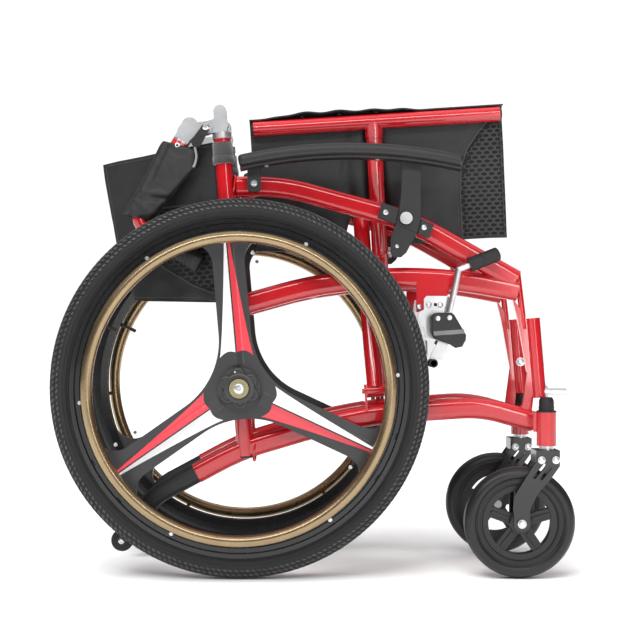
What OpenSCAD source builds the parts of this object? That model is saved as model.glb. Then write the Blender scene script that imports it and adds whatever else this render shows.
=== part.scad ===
/* [Side frames] */
// Distance from the middle plane to a side frame when folded
frame_y = 75; // [73:1:78]
// Height of the oval frame rails
rail_h = 34; // [30:1:36]
// Width of the oval frame rails
rail_w = 22; // [20:1:22]
// Radius of the back cane
cane_r = 14; // [12:0.5:14]

/* [Rear wheels] */
// Outer radius of the rear tyre
tyre_r = 305; // [300:1:305]
// Distance from the middle plane to a rear wheel's middle when folded
wheel_y = 112; // [112:1:113]
// Radius of the push rim's centre circle
handrim_r = 241; // [238:1:242]
// Distance from the middle plane to a push rim when folded
handrim_y = 150; // [148:1:152]
// Angle of the first spoke
spoke_turn = 95; // [0:1:119]

/* [Casters] */
// Outer radius of the caster wheel
caster_r = 89; // [86:1:89]
// Distance from the middle plane to a caster when folded
caster_y = 110; // [110:1:111]
// How far the caster axle trails behind its stem
caster_trail = 44; // [40:1:46]

/* [Cross frame] */
// Distance from the middle plane to a seat rail when folded
seat_rail_y = 35; // [34:1:36]
// Radius of the cross tubes
cross_r = 13.5; // [12:0.5:13.5]
// Radius of the seat rails
seat_rail_r = 12.5; // [11:0.5:12.5]
// Lean of the cross frame, which the seat rails rise by
fold_lean = 3.6; // [3:0.1:4]

/* [Armrests] */
// Radius of the arm pad's arch
pad_arch_r = 829; // [820:1:840]
// Thickness of the arm pad
pad_t = 20; // [18:1:21]

/* [Hidden] */
$fn = 64;

red = [0.8, 0.06, 0.08];
black = [0.08, 0.08, 0.09];
grey = [0.25, 0.25, 0.27];
silver = [0.78, 0.78, 0.78];
gold = [0.62, 0.53, 0.38];

// The rear axle is behind the middle of the chair's length
axle_x = -117.5;
axle_z = tyre_r;
// Running clearance between a pin and its bore, in radius
run = 0.06;
// Gap between faces that slide past each other
gap = 0.5;
// How far a tube end runs into the piece that it is welded to
weld = 3;
// Length of a weld bead, and how much bigger it is than its tube
bead_l = 2;
bead_scale = 1.01;
// How far inside its round ends a link's straight edges run, as a share of their radius
tuck = 0.98;
// How far a fillet's circle cuts into the edges that it joins
bite = 0.05;

// Back cane: a straight tube that reclines through the axle
cane_lean = 4.3;
cane_foot_z = 192;
cane_top_z = 712;
collar_top_z = 722;
tongue_r = 10.5;
tongue_t = 12;
tongue_top_z = 768 - tongue_r - 0.5;

// Rails in the side frame's plane: [x, z, bend radius]
top_rail = [[-6, 634], [70, 634, 300], [280, 577, 400], [452, 480]];
mid_rail = [[-12, 436], [110, 470, 600], [290, 494, 800], [455, 463]];
low_rail_turn = [0, 202];
anti_tip_turn = [-140, 127];
sleeve_start = low_rail_turn + (anti_tip_turn - low_rail_turn) * 0.515;
low_rail = [
    [482, 248], [395, 272, 200], [190, 258, 800], [low_rail_turn.x, low_rail_turn.y, 400],
    sleeve_start
];
anti_tip_axle = [-194, 54];
anti_tip_r = 17.5;
anti_tip_w = 15;
anti_tip_pin_r = 4;

// Footrest socket at the front of the frame
socket_top = [480, 418];
socket_foot = [491, 288];
socket_r = 11.5;
socket_bore_r = 8.6;
socket_bore_l = 80;

// Caster: stem, housing and fork
stem_x = 495;
stem_r = 8;
housing_r = 16;
housing_foot_z = 212;
housing_top_z = 267;
fork_crown_z = 186;
fork_crown_t = 20;
fork_leg_t = 5;
fork_crown_back = 21;
fork_crown_front = 17;
caster_w = 30;
caster_rim_r = 66;
caster_pin_r = 5;
caster_axle = [stem_x - caster_trail, caster_r];

// Rear wheel
rim_out_r = 273;
rim_in_r = 247;
tyre_w = 35;
spoke_w = 52;
spoke_t = 12;
hub_waist_r = 50;
rim_flare_r = 35;
axle_r = 6;

// Cross frame, in its own leaning frame whose origin is between the lower pivots
fold_x = 235;
fold_z = 300;
cross_gap = 14;
cross_mid_z = 230;
seat_rail_z = 448;
seat_rail_rear = -187.5;
seat_rail_front = 226;
pivot_r = 4;
knuckle_r = 11;
knuckle_l = 27.6;
ear_t = 4;

// Armrest
arm_pivot = [22.8, 636];
arm_pin_r = 4;
arm_bar_y = 90.6;
arm_mount_y = 86.15;
arm_bar_t = 10;
arm_pad_y = 110;
arm_pad_w = 40;
pad_mid_x = 179;
pad_mid_z = 689.5;
pad_half_angle = 12.6;
arm_button_at = [269, 579.3];
// The front post swings up between the mount's two blocks, so both follow arcs about the pivot
arm_post_in = 239.2;
arm_post_out = 277;
arm_post_gap = 0.7;

// Wheel lock
lock_pivot = [338, 418.3];
lock_spacer = [319.3, 417.1];
shoe_pivot = [338, 392];
shoe_at = [311, 345];
lock_rod_r = 5.3;
lock_pin_r = 4;
lock_plate_y = 86;
lock_body_y = 92;
lock_lever_y = 95.2;
lock_cover_y = 106.6;
lock_cover_t = 6;

// Folding back: hinge pivot and the folded upper cane's line
back_pivot = [-56, 730];
fold_foot = [-76.6, 742.6];
fold_dir = [-0.5225, -0.8526];
handle_dir = [0.8526, -0.5225];
back_pin_r = 4;
cheek_y = 11;
plug_at = 38.5;
cane_at = 42;
bend_at = 195;
handle_r = 11;
handle_l = 125;
grip_r = 16;

// Upholstery
cloth_t = 3;
back_panel_l = 222;
sling_wrap_r = 16.5;

// ---------- helpers ----------

function unit(v) = v / norm(v);
function flat(p) = [p.x, p.y];
function left_of(u) = [-u.y, u.x];
function turn(u, v) = atan2(u.x * v.y - u.y * v.x, u * v);
function cane_x(z) = -tan(cane_lean) * (z - axle_z);
function on_fold(d) = fold_foot + fold_dir * d;

// A chair's side: the right side is drawn, the left side is its mirror image
module right_side() {
    translate([axle_x, 0, 0]) children();
}
module left_side() {
    translate([axle_x, 0, 0]) mirror([0, 1, 0]) children();
}

// Oval tube section, h in the frame's plane
module oval(h, w) {
    for (s = [-1, 1])
        translate([s * (h - w) / 2, 0]) circle(d = w);
    square([h - w, w - 0.004], center = true);
}

// Straight piece of a tube in the frame's plane, from a to b
module run_tube(a, b) {
    d = b - a;
    translate([a.x, 0, a.y]) rotate([0, 90 - atan2(d.y, d.x), 0]) linear_extrude(norm(d)) children();
}

// Bent piece of a tube that starts at p in direction u and turns by t degrees
module bend_tube(p, u, t, r) {
    side = sign(t);
    centre = p + left_of(u) * r * side;
    start = atan2(u.y, u.x) - 90 * side;
    translate([centre.x, 0, centre.y]) rotate([90, 0, 0]) rotate([0, 0, min(start, start + t)])
        rotate_extrude(angle = abs(t), $fn = 180) translate([r, 0]) children();
}

// Thin weld bead where a bend starts or ends
module bead(p, u) {
    run_tube(p - u * bead_l / 2, p + u * bead_l / 2) scale(bead_scale) children();
}

// Tube along a route of [x, z, bend radius] points in the frame's plane
module route_tube(route) {
    last = len(route) - 1;
    u = [for (i = [0 : last - 1]) unit(flat(route[i + 1]) - flat(route[i]))];
    t = [for (i = [0 : last]) i == 0 || i == last ? 0 : turn(u[i - 1], u[i])];
    cut = [for (i = [0 : last]) t[i] == 0 ? 0 : route[i].z * tan(abs(t[i]) / 2)];
    for (i = [0 : last - 1]) {
        a = flat(route[i]) + u[i] * (cut[i] + (i > 0 ? bead_l / 4 : 0));
        b = flat(route[i + 1]) - u[i] * (cut[i + 1] + (i < last - 1 ? bead_l / 4 : 0));
        run_tube(a, b) children();
    }
    for (i = [1 : last - 1]) {
        start = flat(route[i]) - u[i - 1] * cut[i];
        bend_tube(start, u[i - 1], t[i], route[i].z) children();
        bead(start, u[i - 1]) children();
        bead(flat(route[i]) + u[i] * cut[i], u[i]) children();
    }
}

// Round rod between two points
module rod(a, b, r) {
    d = b - a;
    translate(a) rotate([0, acos(d.z / norm(d)), atan2(d.y, d.x)]) cylinder(r = r, h = norm(d));
}

// Disc or plate across the chair: from y = -near to y = -far, drawn in x and z
module across(near, far) {
    translate([0, -near, 0]) rotate([90, 0, 0]) linear_extrude(far - near) children();
}

// Flat link with round ends of different sizes
module link(a, ra, b, rb) {
    d = b - a;
    turn_in = acos((ra - rb) / norm(d));
    lead = atan2(d.y, d.x);
    up = [cos(lead + turn_in), sin(lead + turn_in)];
    down = [cos(lead - turn_in), sin(lead - turn_in)];
    ia = ra * tuck;
    ib = rb * tuck;
    translate(a) circle(ra);
    translate(b) circle(rb);
    polygon([a + down * ia, b + down * ib, b + up * ib, a + up * ia]);
}

// Outward from the rear wheel's or caster's middle plane
module wheel_frame(at, y) {
    translate([at.x, -y, at.y]) rotate([90, 0, 0]) children();
}

// The leaning frame that the cross frame folds in
module fold_frame() {
    translate([fold_x, 0, fold_z]) rotate([0, -fold_lean, 0]) children();
}

// ---------- side frame ----------

module cane(from_z, to_z, r) {
    rod([cane_x(from_z), -frame_y, from_z], [cane_x(to_z), -frame_y, to_z], r);
}

module axle_housing() {
    across(62, 90) translate([0, axle_z]) circle(13.5);
}

// Thin post and blade from the rails' front ends to the foot of the footrest socket
module front_post() {
    translate([0, -frame_y, 0]) rod([455, 0, 492], [466, 0, 400], 5);
    across(frame_y - 4, frame_y + 4)
        polygon([[446, 452], [468, 420], [486, 330], [478, 266], [462, 268], [470, 330], [455, 415]]);
}

module footrest_socket() {
    rod([socket_top.x, -frame_y, socket_top.y], [socket_foot.x, -frame_y, socket_foot.y], socket_r);
}

module footrest_bore() {
    d = unit(socket_foot - socket_top);
    a = socket_top - d * weld;
    b = socket_top + d * socket_bore_l;
    rod([a.x, -frame_y, a.y], [b.x, -frame_y, b.y], socket_bore_r);
}

module caster_housing() {
    translate([stem_x, -caster_y, housing_foot_z]) cylinder(r = housing_r, h = housing_top_z - housing_foot_z);
    translate([stem_x - 21, -caster_y, 234]) cube([30, caster_y - frame_y + rail_w / 2, 30]);
}

module caster_bore() {
    translate([stem_x, -caster_y, housing_foot_z - 1]) cylinder(r = stem_r + run, h = 46);
}

// Two ears on the low rail that hold a cross tube's foot
module cross_ears(at_x) {
    fold_frame() for (s = [-1, 1])
        translate([at_x + s * (knuckle_l / 2 + 0.4 + ear_t / 2), -frame_y, 0]) {
            rotate([0, 90, 0]) cylinder(r = knuckle_r, h = ear_t, center = true);
            translate([0, 0, -16]) cube([ear_t, 2 * knuckle_r, 32], center = true);
        }
}

module cross_pin(at_x) {
    fold_frame() translate([at_x, -frame_y, 0]) rotate([0, 90, 0])
        cylinder(r = pivot_r, h = knuckle_l + 2 * ear_t + 8, center = true);
}

// Rests that the seat rails sit on when the chair is open
module seat_rests() {
    for (p = [[101, 455], [350, 469]])
        translate([p.x, -72, p.y]) cube([28, 46, 10]);
}

// Bracket under the mid rail that carries the wheel lock
module lock_bracket() {
    across(80, lock_plate_y)
        polygon([[288, 480], [288, 428], [299, 428], [302, 452], [338, 452], [344, 480]]);
}

module side_frame(foot_x) {
    color(red) difference() {
        union() {
            translate([0, -frame_y, 0]) {
                route_tube(top_rail) oval(rail_h, rail_w);
                route_tube(mid_rail) oval(rail_h, rail_w);
                route_tube(low_rail) oval(rail_h, rail_w);
            }
            cane(cane_foot_z, cane_top_z, cane_r);
            axle_housing();
            front_post();
            footrest_socket();
            caster_housing();
            cross_ears(foot_x);
            cross_pin(foot_x);
            seat_rests();
            lock_bracket();
        }
        footrest_bore();
        caster_bore();
        across(61, 91) translate([0, axle_z]) circle(axle_r + run);
    }
}

// Rubber cap on the caster housing, and the steel stud that the footrest hangs on
module front_fittings() {
    color(black) translate([stem_x, -caster_y, housing_top_z]) {
        cylinder(r = 12, h = 15);
        translate([0, 0, 15]) intersection() {
            sphere(12);
            cylinder(r = 12, h = 8);
        }
    }
    color(silver) {
        difference() {
            translate([socket_foot.x, -frame_y, 297]) rotate([0, 90, 0]) {
                cylinder(r = 5.75, h = 44);
                cylinder(r = 8.5, h = 14);
            }
            footrest_socket();
        }
        difference() {
            across(frame_y - socket_r - 4, frame_y - 4) translate([486.5, 343]) circle(7.5);
            footrest_socket();
            front_post();
        }
    }
}

// ---------- anti-tip wheel ----------

anti_tip_dir = unit(anti_tip_axle - anti_tip_turn);
anti_tip_end = anti_tip_axle - anti_tip_dir * (anti_tip_r + 6);

module anti_tip_tube() {
    color(black) translate([0, -frame_y, 0])
        route_tube([sleeve_start, [anti_tip_turn.x, anti_tip_turn.y, 70], anti_tip_end]) oval(rail_h - 2, rail_w);
    color(black) for (y = [8, -11])
        across(frame_y + y, frame_y + y + 3) link(anti_tip_end - anti_tip_dir * 8, 11, anti_tip_axle, 8);
    color(silver) across(frame_y - 13, frame_y + 13) translate(anti_tip_axle) circle(anti_tip_pin_r);
}

module anti_tip_wheel() {
    color(black) across(frame_y - anti_tip_w / 2, frame_y + anti_tip_w / 2) translate(anti_tip_axle) difference() {
        circle(anti_tip_r);
        circle(anti_tip_pin_r + run);
    }
}

// ---------- rear wheel ----------

// Radius of the curve that joins two spokes at the hub, so that the waist has its radius
hub_fillet_r = (hub_waist_r - spoke_w / 2 / sin(60)) / (1 / sin(60) - 1);

// Web in the corner between two spokes, which leave the hub 60 degrees to each side of x
module hub_corner() {
    reach = (spoke_w / 2 + hub_fillet_r - bite) / sin(60);
    foot = reach * cos(60) * [cos(60), sin(60)] + (spoke_w / 2 - 6) * [sin(60), -cos(60)];
    difference() {
        polygon([[20, 0], [foot.x, -foot.y], [reach, 0], foot]);
        translate([reach, 0]) circle(hub_fillet_r, $fn = 128);
    }
}

// Curved flare where a spoke along x meets the rim, on its upper side
module rim_corner() {
    off = spoke_w / 2 + rim_flare_r - bite;
    centre_r = rim_in_r - rim_flare_r + bite;
    along = sqrt(centre_r * centre_r - off * off);
    outer = rim_in_r + 2;
    difference() {
        polygon([
            [along, spoke_w / 2 - 1], [sqrt(outer * outer - spoke_w * spoke_w / 4), spoke_w / 2 - 1],
            [along, off] * outer / centre_r, [along, off]
        ]);
        translate([along, off]) circle(rim_flare_r);
    }
}

module spoke_outline() {
    translate([10, -spoke_w / 2]) square([rim_in_r - 9, spoke_w]);
    for (m = [0, 1]) mirror([0, m]) rim_corner();
    rotate(60) hub_corner();
}

module spoke_ridge() {
    translate([38, 0, 0]) rotate([90, 0, 90]) linear_extrude(rim_in_r - 40)
        polygon([[-15, 4], [-9, 5.5], [0, 11], [9, 5.5], [15, 4]]);
}

module rear_wheel() {
    color(grey) wheel_frame([0, axle_z], wheel_y) difference() {
        union() {
            rotate_extrude($fn = 180) polygon([
                [rim_in_r, -11], [rim_in_r + 12, -13], [rim_out_r, -13], [rim_out_r, 13], [266, 13],
                [264, 10.5], [257, 10.5], [255, 12.5], [249, 12.5], [rim_in_r, 9]
            ]);
            translate([0, 0, -7]) linear_extrude(spoke_t) {
                circle(33);
                for (k = [0 : 2]) rotate(spoke_turn + 120 * k) spoke_outline();
            }
            for (k = [0 : 2]) rotate([0, 0, spoke_turn + 120 * k]) spoke_ridge();
            translate([0, 0, -16]) cylinder(r = 34, h = 30);
            translate([0, 0, 90 + gap - wheel_y]) cylinder(r = 11, h = 10);
            cylinder(r = 24, h = 20);
            for (k = [0 : 5]) rotate([0, 0, spoke_turn + 60 * k]) translate([22.5, 0, 0]) cylinder(r = 10.5, h = 18);
        }
        translate([0, 0, -40]) cylinder(r = axle_r + run, h = 80);
    }
}

module rear_tyre() {
    color(black) wheel_frame([0, axle_z], wheel_y) rotate_extrude($fn = 180) difference() {
        translate([tyre_r - tyre_w / 2, 0]) circle(d = tyre_w);
        translate([rim_out_r - tyre_w, -tyre_w]) square([tyre_w, 2 * tyre_w]);
    }
}

module handrim() {
    rim_face = wheel_y + 13;
    color(gold) wheel_frame([0, axle_z], 0) {
        translate([0, 0, handrim_y]) rotate_extrude($fn = 180) translate([handrim_r, 0]) circle(9.5);
        for (k = [0 : 5]) rotate([0, 0, spoke_turn + 30 + 60 * k])
            translate([rim_in_r + 5, 0, rim_face - 0.5]) cylinder(r = 3.5, h = handrim_y - rim_face);
    }
}

module rear_axle() {
    color(gold) wheel_frame([0, axle_z], wheel_y) difference() {
        union() {
            translate([0, 0, 20]) cylinder(r = 15.5, h = 8);
            translate([0, 0, 58 - wheel_y]) cylinder(r = axle_r, h = wheel_y - 38);
        }
        translate([0, 0, 22]) cylinder(r = 9.2, h = 10);
        cylinder(r = 3 + run, h = 30);
    }
}

module axle_button() {
    color(silver) wheel_frame([0, axle_z], wheel_y) {
        translate([0, 0, 25.5]) cylinder(r = 8.8, h = 5.5);
        translate([0, 0, 5]) cylinder(r = 3, h = 21);
    }
}

// ---------- caster ----------

module fork_leg() {
    back = stem_x - fork_crown_back;
    front = stem_x + fork_crown_front;
    top = fork_crown_z + fork_crown_t;
    difference() {
        union() {
            translate(caster_axle) circle(13);
            polygon([
                caster_axle + [12.4, 3], caster_axle + [14, 24], [front - 34, 139], [front - 15, 160],
                [front, 181], [front, top], [back, top], [back, 187.5], [back - 14, 166],
                caster_axle + [-11.5, 44], caster_axle + [-12.6, 24], caster_axle + [-12.4, 3]
            ]);
        }
        link([stem_x - 8, 182.5], 2.7, [stem_x - 23, 163.5], 2.7);
        link([stem_x + 1.5, 178.5], 2.7, [stem_x - 12, 161.5], 2.7);
    }
}

module caster_fork() {
    near = caster_w / 2 + 2;
    color(black) {
        for (y = [caster_y - near - fork_leg_t, caster_y + near])
            across(y, y + fork_leg_t) fork_leg();
        translate([stem_x, -caster_y, fork_crown_z]) difference() {
            translate([-fork_crown_back, -near - 1, 0])
                cube([fork_crown_back + fork_crown_front, 2 * near + 2, fork_crown_t]);
            translate([0, 0, -1]) cylinder(r = 5, h = 6);
        }
    }
    color(silver) {
        translate([stem_x, -caster_y, fork_crown_z + fork_crown_t - 1]) cylinder(r = 12, h = housing_foot_z - fork_crown_z - fork_crown_t + 0.7);
        translate([stem_x, -caster_y, fork_crown_z + 1]) cylinder(r = stem_r, h = 68);
        across(caster_y - near - 8, caster_y + near + 8) translate(caster_axle) circle(caster_pin_r);
        for (y = [caster_y - near - 9, caster_y + near + 5])
            across(y, y + 4) {
                translate(caster_axle) circle(7);
                for (x = [stem_x - 13, stem_x + 10]) translate([x, 191]) circle(6);
            }
    }
}

module caster_rim() {
    color(grey) wheel_frame(caster_axle, caster_y) difference() {
        union() {
            rotate_extrude($fn = 128) polygon([
                [51, -9], [caster_rim_r, -11], [caster_rim_r, 11], [62, 11], [60, 8], [51, 8]
            ]);
            for (k = [0 : 4]) rotate([0, 0, 16 + 72 * k]) {
                translate([0, -9, -6]) cube([54, 18, 12]);
                translate([20, -2, 5]) cube([29, 4, 4]);
            }
            translate([0, 0, -16]) cylinder(r = 17, h = 32);
        }
        translate([0, 0, -20]) cylinder(r = caster_pin_r + run, h = 40);
    }
}

module caster_tyre() {
    tread = caster_r - caster_rim_r;
    color(black) wheel_frame(caster_axle, caster_y) rotate_extrude($fn = 128) {
        for (s = [-1, 1]) translate([caster_r - tread / 2, s * (caster_w - tread) / 2]) circle(d = tread);
        translate([caster_rim_r, (tread - caster_w) / 2]) square([tread, caster_w - tread]);
        translate([caster_rim_r, -caster_w / 2 + 4]) square([tread / 2, caster_w - 8]);
    }
}

// ---------- armrest ----------

module arm_mount() {
    face_y = arm_bar_y + arm_bar_t;
    color(black) {
        across(arm_mount_y, 90) translate(arm_pivot) circle(10);
        difference() {
            across(arm_mount_y, face_y) polygon([[224, 582], [305, 548.5], [315, 570], [231, 606]]);
            across(90, face_y + 1) difference() {
                translate(arm_pivot) circle(arm_post_out + arm_post_gap, $fn = 360);
                translate(arm_pivot) circle(arm_post_in - arm_post_gap, $fn = 360);
            }
        }
    }
    color(silver) {
        across(90, face_y + gap) translate(arm_pivot) circle(arm_pin_r);
        across(face_y + gap, face_y + 3) translate(arm_pivot) circle(5.5);
        for (p = [[236.3, 589.5], [298.5, 565]])
            across(face_y, face_y + 2) translate(p) circle(4);
    }
}

// Arched strip that follows the underside of the pad
module arch(y, w, outer, inner) {
    translate([pad_mid_x, -y, pad_mid_z - pad_arch_r]) rotate([90, 0, 0])
        rotate([0, 0, 90 - pad_half_angle]) rotate_extrude(angle = 2 * pad_half_angle, $fn = 360)
            translate([pad_arch_r + inner, -w / 2]) square([outer - inner, w]);
}

module arm_post() {
    intersection() {
        translate(arm_pivot) circle(arm_post_out, $fn = 360);
        difference() {
            polygon([
                [245, 524], [250, 517], [262, 517], [270, 524], [289, 560], [293.2, 575], [293, 669.5],
                [262.1, 673], [262.1, 636], [245, 600]
            ]);
            translate(arm_pivot) circle(arm_post_in, $fn = 360);
        }
    }
}

module arm_frame() {
    color(black) difference() {
        union() {
            across(arm_bar_y, arm_bar_y + arm_bar_t) {
                polygon([[12, 629.5], [33.6, 629.5], [33.6, 664.4], [12, 661.2]]);
                link([17.4, 629.3], 5.5, [28.2, 629.3], 5.5);
                arm_post();
            }
            arch(109, 26, -pad_t / 2, -pad_t / 2 - 4);
        }
        across(80, 120) translate(arm_pivot) circle(arm_pin_r + run);
        across(80, 120) translate(arm_button_at) circle(6 + run);
    }
}

module arm_pad() {
    color(black) arch(arm_pad_y, arm_pad_w, pad_t / 2, -pad_t / 2);
}

module arm_button() {
    color(silver) {
        across(arm_bar_y + 6, arm_bar_y + arm_bar_t + 5) translate(arm_button_at) circle(6);
        across(arm_bar_y + arm_bar_t + 5, arm_bar_y + arm_bar_t + 9) translate(arm_button_at) circle(10);
    }
}

// ---------- wheel lock ----------

module brake_body() {
    face_y = lock_cover_y + lock_cover_t;
    color(silver) {
        across(lock_plate_y, lock_body_y)
            polygon([
                [302, 388], [325, 380], [326, 351], [336, 351], [338, 380], [352, 392], [352, 434], [339, 454],
                [304, 454], [299.5, 449], [299.5, 432], [290, 427], [290, 408], [299, 404]
            ]);
        for (p = [[307.7, 439.2], [326.3, 439.2]])
            across(lock_body_y, lock_body_y + 2.2) translate(p) circle(4);
        for (p = [lock_pivot, shoe_pivot, lock_spacer])
            across(lock_body_y, lock_cover_y) translate(p) circle(lock_pin_r);
        for (p = [lock_pivot, lock_spacer])
            across(face_y, face_y + 2) translate(p) circle(4.2);
    }
    color(black) across(lock_cover_y, face_y)
        polygon([
            [309, 394], [313.5, 384.6], [339, 375.3], [348.4, 369.5], [358.8, 371.8], [364.6, 382.3],
            [365.1, 390.4], [346, 422.9], [341.4, 426.4], [318.2, 426.4], [312.3, 424.1], [309, 419.4]
        ]);
}

lever_bend = [355, 497];
lever_tip = [411, 519.2];
grip_start = [372, 503.7];
grip_end = [416, 521.2];

// The bent rod of the wheel lock's lever
module lever_rod() {
    y = -lock_lever_y - lock_rod_r;
    bend = [lever_bend.x, y, lever_bend.y];
    rod([lock_pivot.x, y, lock_pivot.y], bend, lock_rod_r - 0.05);
    rod(bend, [lever_tip.x, y, lever_tip.y], lock_rod_r);
    translate(bend) sphere(lock_rod_r);
}

module brake_lever() {
    color(silver) difference() {
        union() {
            lever_rod();
            across(lock_lever_y, lock_lever_y + 2 * lock_rod_r) translate(lock_pivot) circle(9);
        }
        across(lock_lever_y - 1, lock_lever_y + 12) translate(lock_pivot) circle(lock_pin_r + run);
    }
}

module brake_grip() {
    y = -lock_lever_y - lock_rod_r;
    color(black) difference() {
        rod([grip_start.x, y, grip_start.y], [grip_end.x, y, grip_end.y], 11.5);
        lever_rod();
    }
}

module brake_shoe() {
    color(silver) difference() {
        across(lock_lever_y, lock_lever_y + 5) link(shoe_pivot, 9, shoe_at, 7);
        across(lock_lever_y - 1, lock_lever_y + 12) translate(shoe_pivot) circle(lock_pin_r + run);
    }
    color(black) across(wheel_y - 16, wheel_y + 16) translate(shoe_at) circle(5);
}

// ---------- folding back ----------

module back_pin() {
    across(frame_y - 16, frame_y + 16) translate(back_pivot) circle(back_pin_r);
}

// Collar on the lower cane, with a flat tongue that the upper casting straddles
module hinge_lower() {
    color(silver) {
        cane(cane_top_z, collar_top_z, cane_r + 1);
        across(frame_y - tongue_t / 2, frame_y + tongue_t / 2) {
            link(back_pivot, 10, [cane_x(736), 736], tongue_r + 2);
            link([cane_x(730), 730], tongue_r, [cane_x(tongue_top_z), tongue_top_z], tongue_r + 0.2);
        }
        back_pin();
    }
}

// Two cheeks on a plug that closes the upper cane's end
module hinge_upper() {
    a = on_fold(plug_at);
    b = on_fold(cane_at);
    side = handle_dir * (cane_r - 1.5);
    inner = tongue_t / 2 + gap;
    color(silver) difference() {
        union() {
            rod([a.x, -frame_y, a.y], [b.x, -frame_y, b.y], cane_r);
            for (y = [-cheek_y, inner])
                across(frame_y + y, frame_y + y + cheek_y - inner) {
                    link(back_pivot, 10, on_fold(22), cane_r - 0.5);
                    link(on_fold(12), cane_r, on_fold(24), cane_r + 0.3);
                    polygon([on_fold(20) - side, on_fold(plug_at + 1.5) - side,
                        on_fold(plug_at + 1.5) + side, on_fold(20) + side]);
                }
        }
        across(frame_y - 20, frame_y + 20) translate(back_pivot) circle(back_pin_r + run);
    }
}

module upper_cane() {
    start = on_fold(cane_at);
    bend = on_fold(bend_at);
    tip = bend + handle_dir * handle_l;
    narrow = on_fold(bend_at - 40);
    color(red) translate([0, -frame_y, 0]) {
        rod([start.x, 0, start.y], [narrow.x, 0, narrow.y], cane_r);
        route_tube([narrow, [bend.x, bend.y, 30], tip]) circle(handle_r);
    }
}

module push_grip() {
    a = on_fold(bend_at) + handle_dir * 42;
    b = on_fold(bend_at) + handle_dir * (handle_l + 4);
    color(black) difference() {
        rod([a.x, -frame_y, a.y], [b.x, -frame_y, b.y], grip_r);
        upper_cane();
    }
}

release_tip = [-71.3, 705];

module release_lever() {
    color(black) across(frame_y + 11.6, frame_y + 17) difference() {
        link(release_tip, 8.6, back_pivot, 6.5);
        translate(back_pivot) circle(back_pin_r + run);
    }
}

// ---------- cross frame ----------

// One cross tube with its seat rail. The foot is on the side that s points to, the rail on the other
module cross_member(s, at_x) {
    foot = [at_x, s * frame_y, 0];
    middle = [at_x, 0, cross_mid_z];
    head = [at_x, -s * seat_rail_y, seat_rail_z];
    color(red) fold_frame() difference() {
        union() {
            rod(foot + unit(middle - foot) * 4, middle, cross_r - 0.2);
            rod(middle, head, cross_r);
            translate(middle) sphere(cross_r + 0.3);
            rod(head - unit(head - middle) * 26, head - unit(head - middle) * 4, cross_r + 1.5);
            translate(foot) rotate([0, 90, 0]) cylinder(r = knuckle_r, h = knuckle_l, center = true);
            translate([0, -s * seat_rail_y, seat_rail_z])
                rod([seat_rail_rear, 0, 0], [seat_rail_front, 0, 0], seat_rail_r);
        }
        translate(foot) rotate([0, 90, 0]) cylinder(r = pivot_r + run, h = 60, center = true);
        translate(middle) rotate([0, 90, 0]) cylinder(r = 5 + run, h = 60, center = true);
    }
}

module cross_bolt() {
    half = cross_gap + cross_r + 1;
    color(silver) fold_frame() translate([0, 0, cross_mid_z]) rotate([0, 90, 0]) {
        cylinder(r = 5, h = 2 * half, center = true);
        for (s = [-1, 1])
            translate([0, 0, s * (half + 2.5)]) cylinder(r = 9, h = 5, center = true);
    }
}

// ---------- upholstery ----------

// Half of the lower back cloth, folded rearwards between the canes
module back_lower() {
    swing = asin(frame_y / (back_panel_l + 5));
    top = 705;
    color(black) {
        difference() {
            cane(672, top, cane_r + 2);
            cane(660, 720, cane_r + 0.3);
        }
        translate([cane_x(axle_z), -frame_y, axle_z]) rotate([0, -cane_lean, 0]) rotate([0, 0, 180 - swing])
            translate([cane_r + 2.6, -cloth_t / 2, 0]) rotate([90, 0, 0]) translate([0, 0, -cloth_t])
                linear_extrude(cloth_t) polygon([
                    [0, 144], [160, 157], [186, 246], [back_panel_l - 20, 391], [0, 405]
                ]);
    }
}

// Half of the upper back cloth, gathered along the folded upper cane
module back_upper() {
    outline = [
        [55, -25], [80, -26], [110, -22], [160, -19.5], [187, -21], [181, 7], [171, 28], [140, 32],
        [111, 36], [64.5, 42], [48, 20]
    ];
    color(black) difference() {
        across(frame_y - 9, frame_y + 16)
            polygon([for (p = outline) on_fold(p.x) + handle_dir * p.y]);
        cane_with_room();
        push_grip();
    }
}

// The upper cane with a little room around it
module cane_with_room() {
    a = on_fold(cane_at);
    b = on_fold(bend_at - 30);
    rod([a.x, -frame_y, a.y], [b.x, -frame_y, b.y], cane_r + 0.3);
    upper_cane();
}

// Half of the seat sling. It laps over its rail's inner side and hangs from there, with a notch for its riser
module seat_sling(riser_x) {
    rear = seat_rail_rear - 7;
    front = seat_rail_front + 7;
    inner_y = seat_rail_y - seat_rail_r - 2.2;
    depth = 205;
    hang = asin((inner_y - 2.5) / depth);
    color(black) fold_frame() difference() {
        union() {
            translate([0, -seat_rail_y, seat_rail_z]) rod([rear, 0, 0], [front, 0, 0], sling_wrap_r);
            translate([rear, -inner_y, seat_rail_z]) rotate([hang, 0, 0]) translate([0, -cloth_t / 2, -depth])
                cube([front - rear, cloth_t, depth]);
        }
        translate([0, -seat_rail_y, seat_rail_z])
            rod([rear - 1, 0, 0], [front + 1, 0, 0], seat_rail_r + 0.3);
        translate([rear - 1, -seat_rail_y - 44, seat_rail_z - 30]) cube([front - rear + 2, 40, 60]);
        translate([-32, -seat_rail_y - 30, 0]) cube([64, 90, seat_rail_z - 130]);
        translate([riser_x - 17, -seat_rail_y - 30, 0]) cube([34, 90, seat_rail_z + 4]);
    }
}

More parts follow.
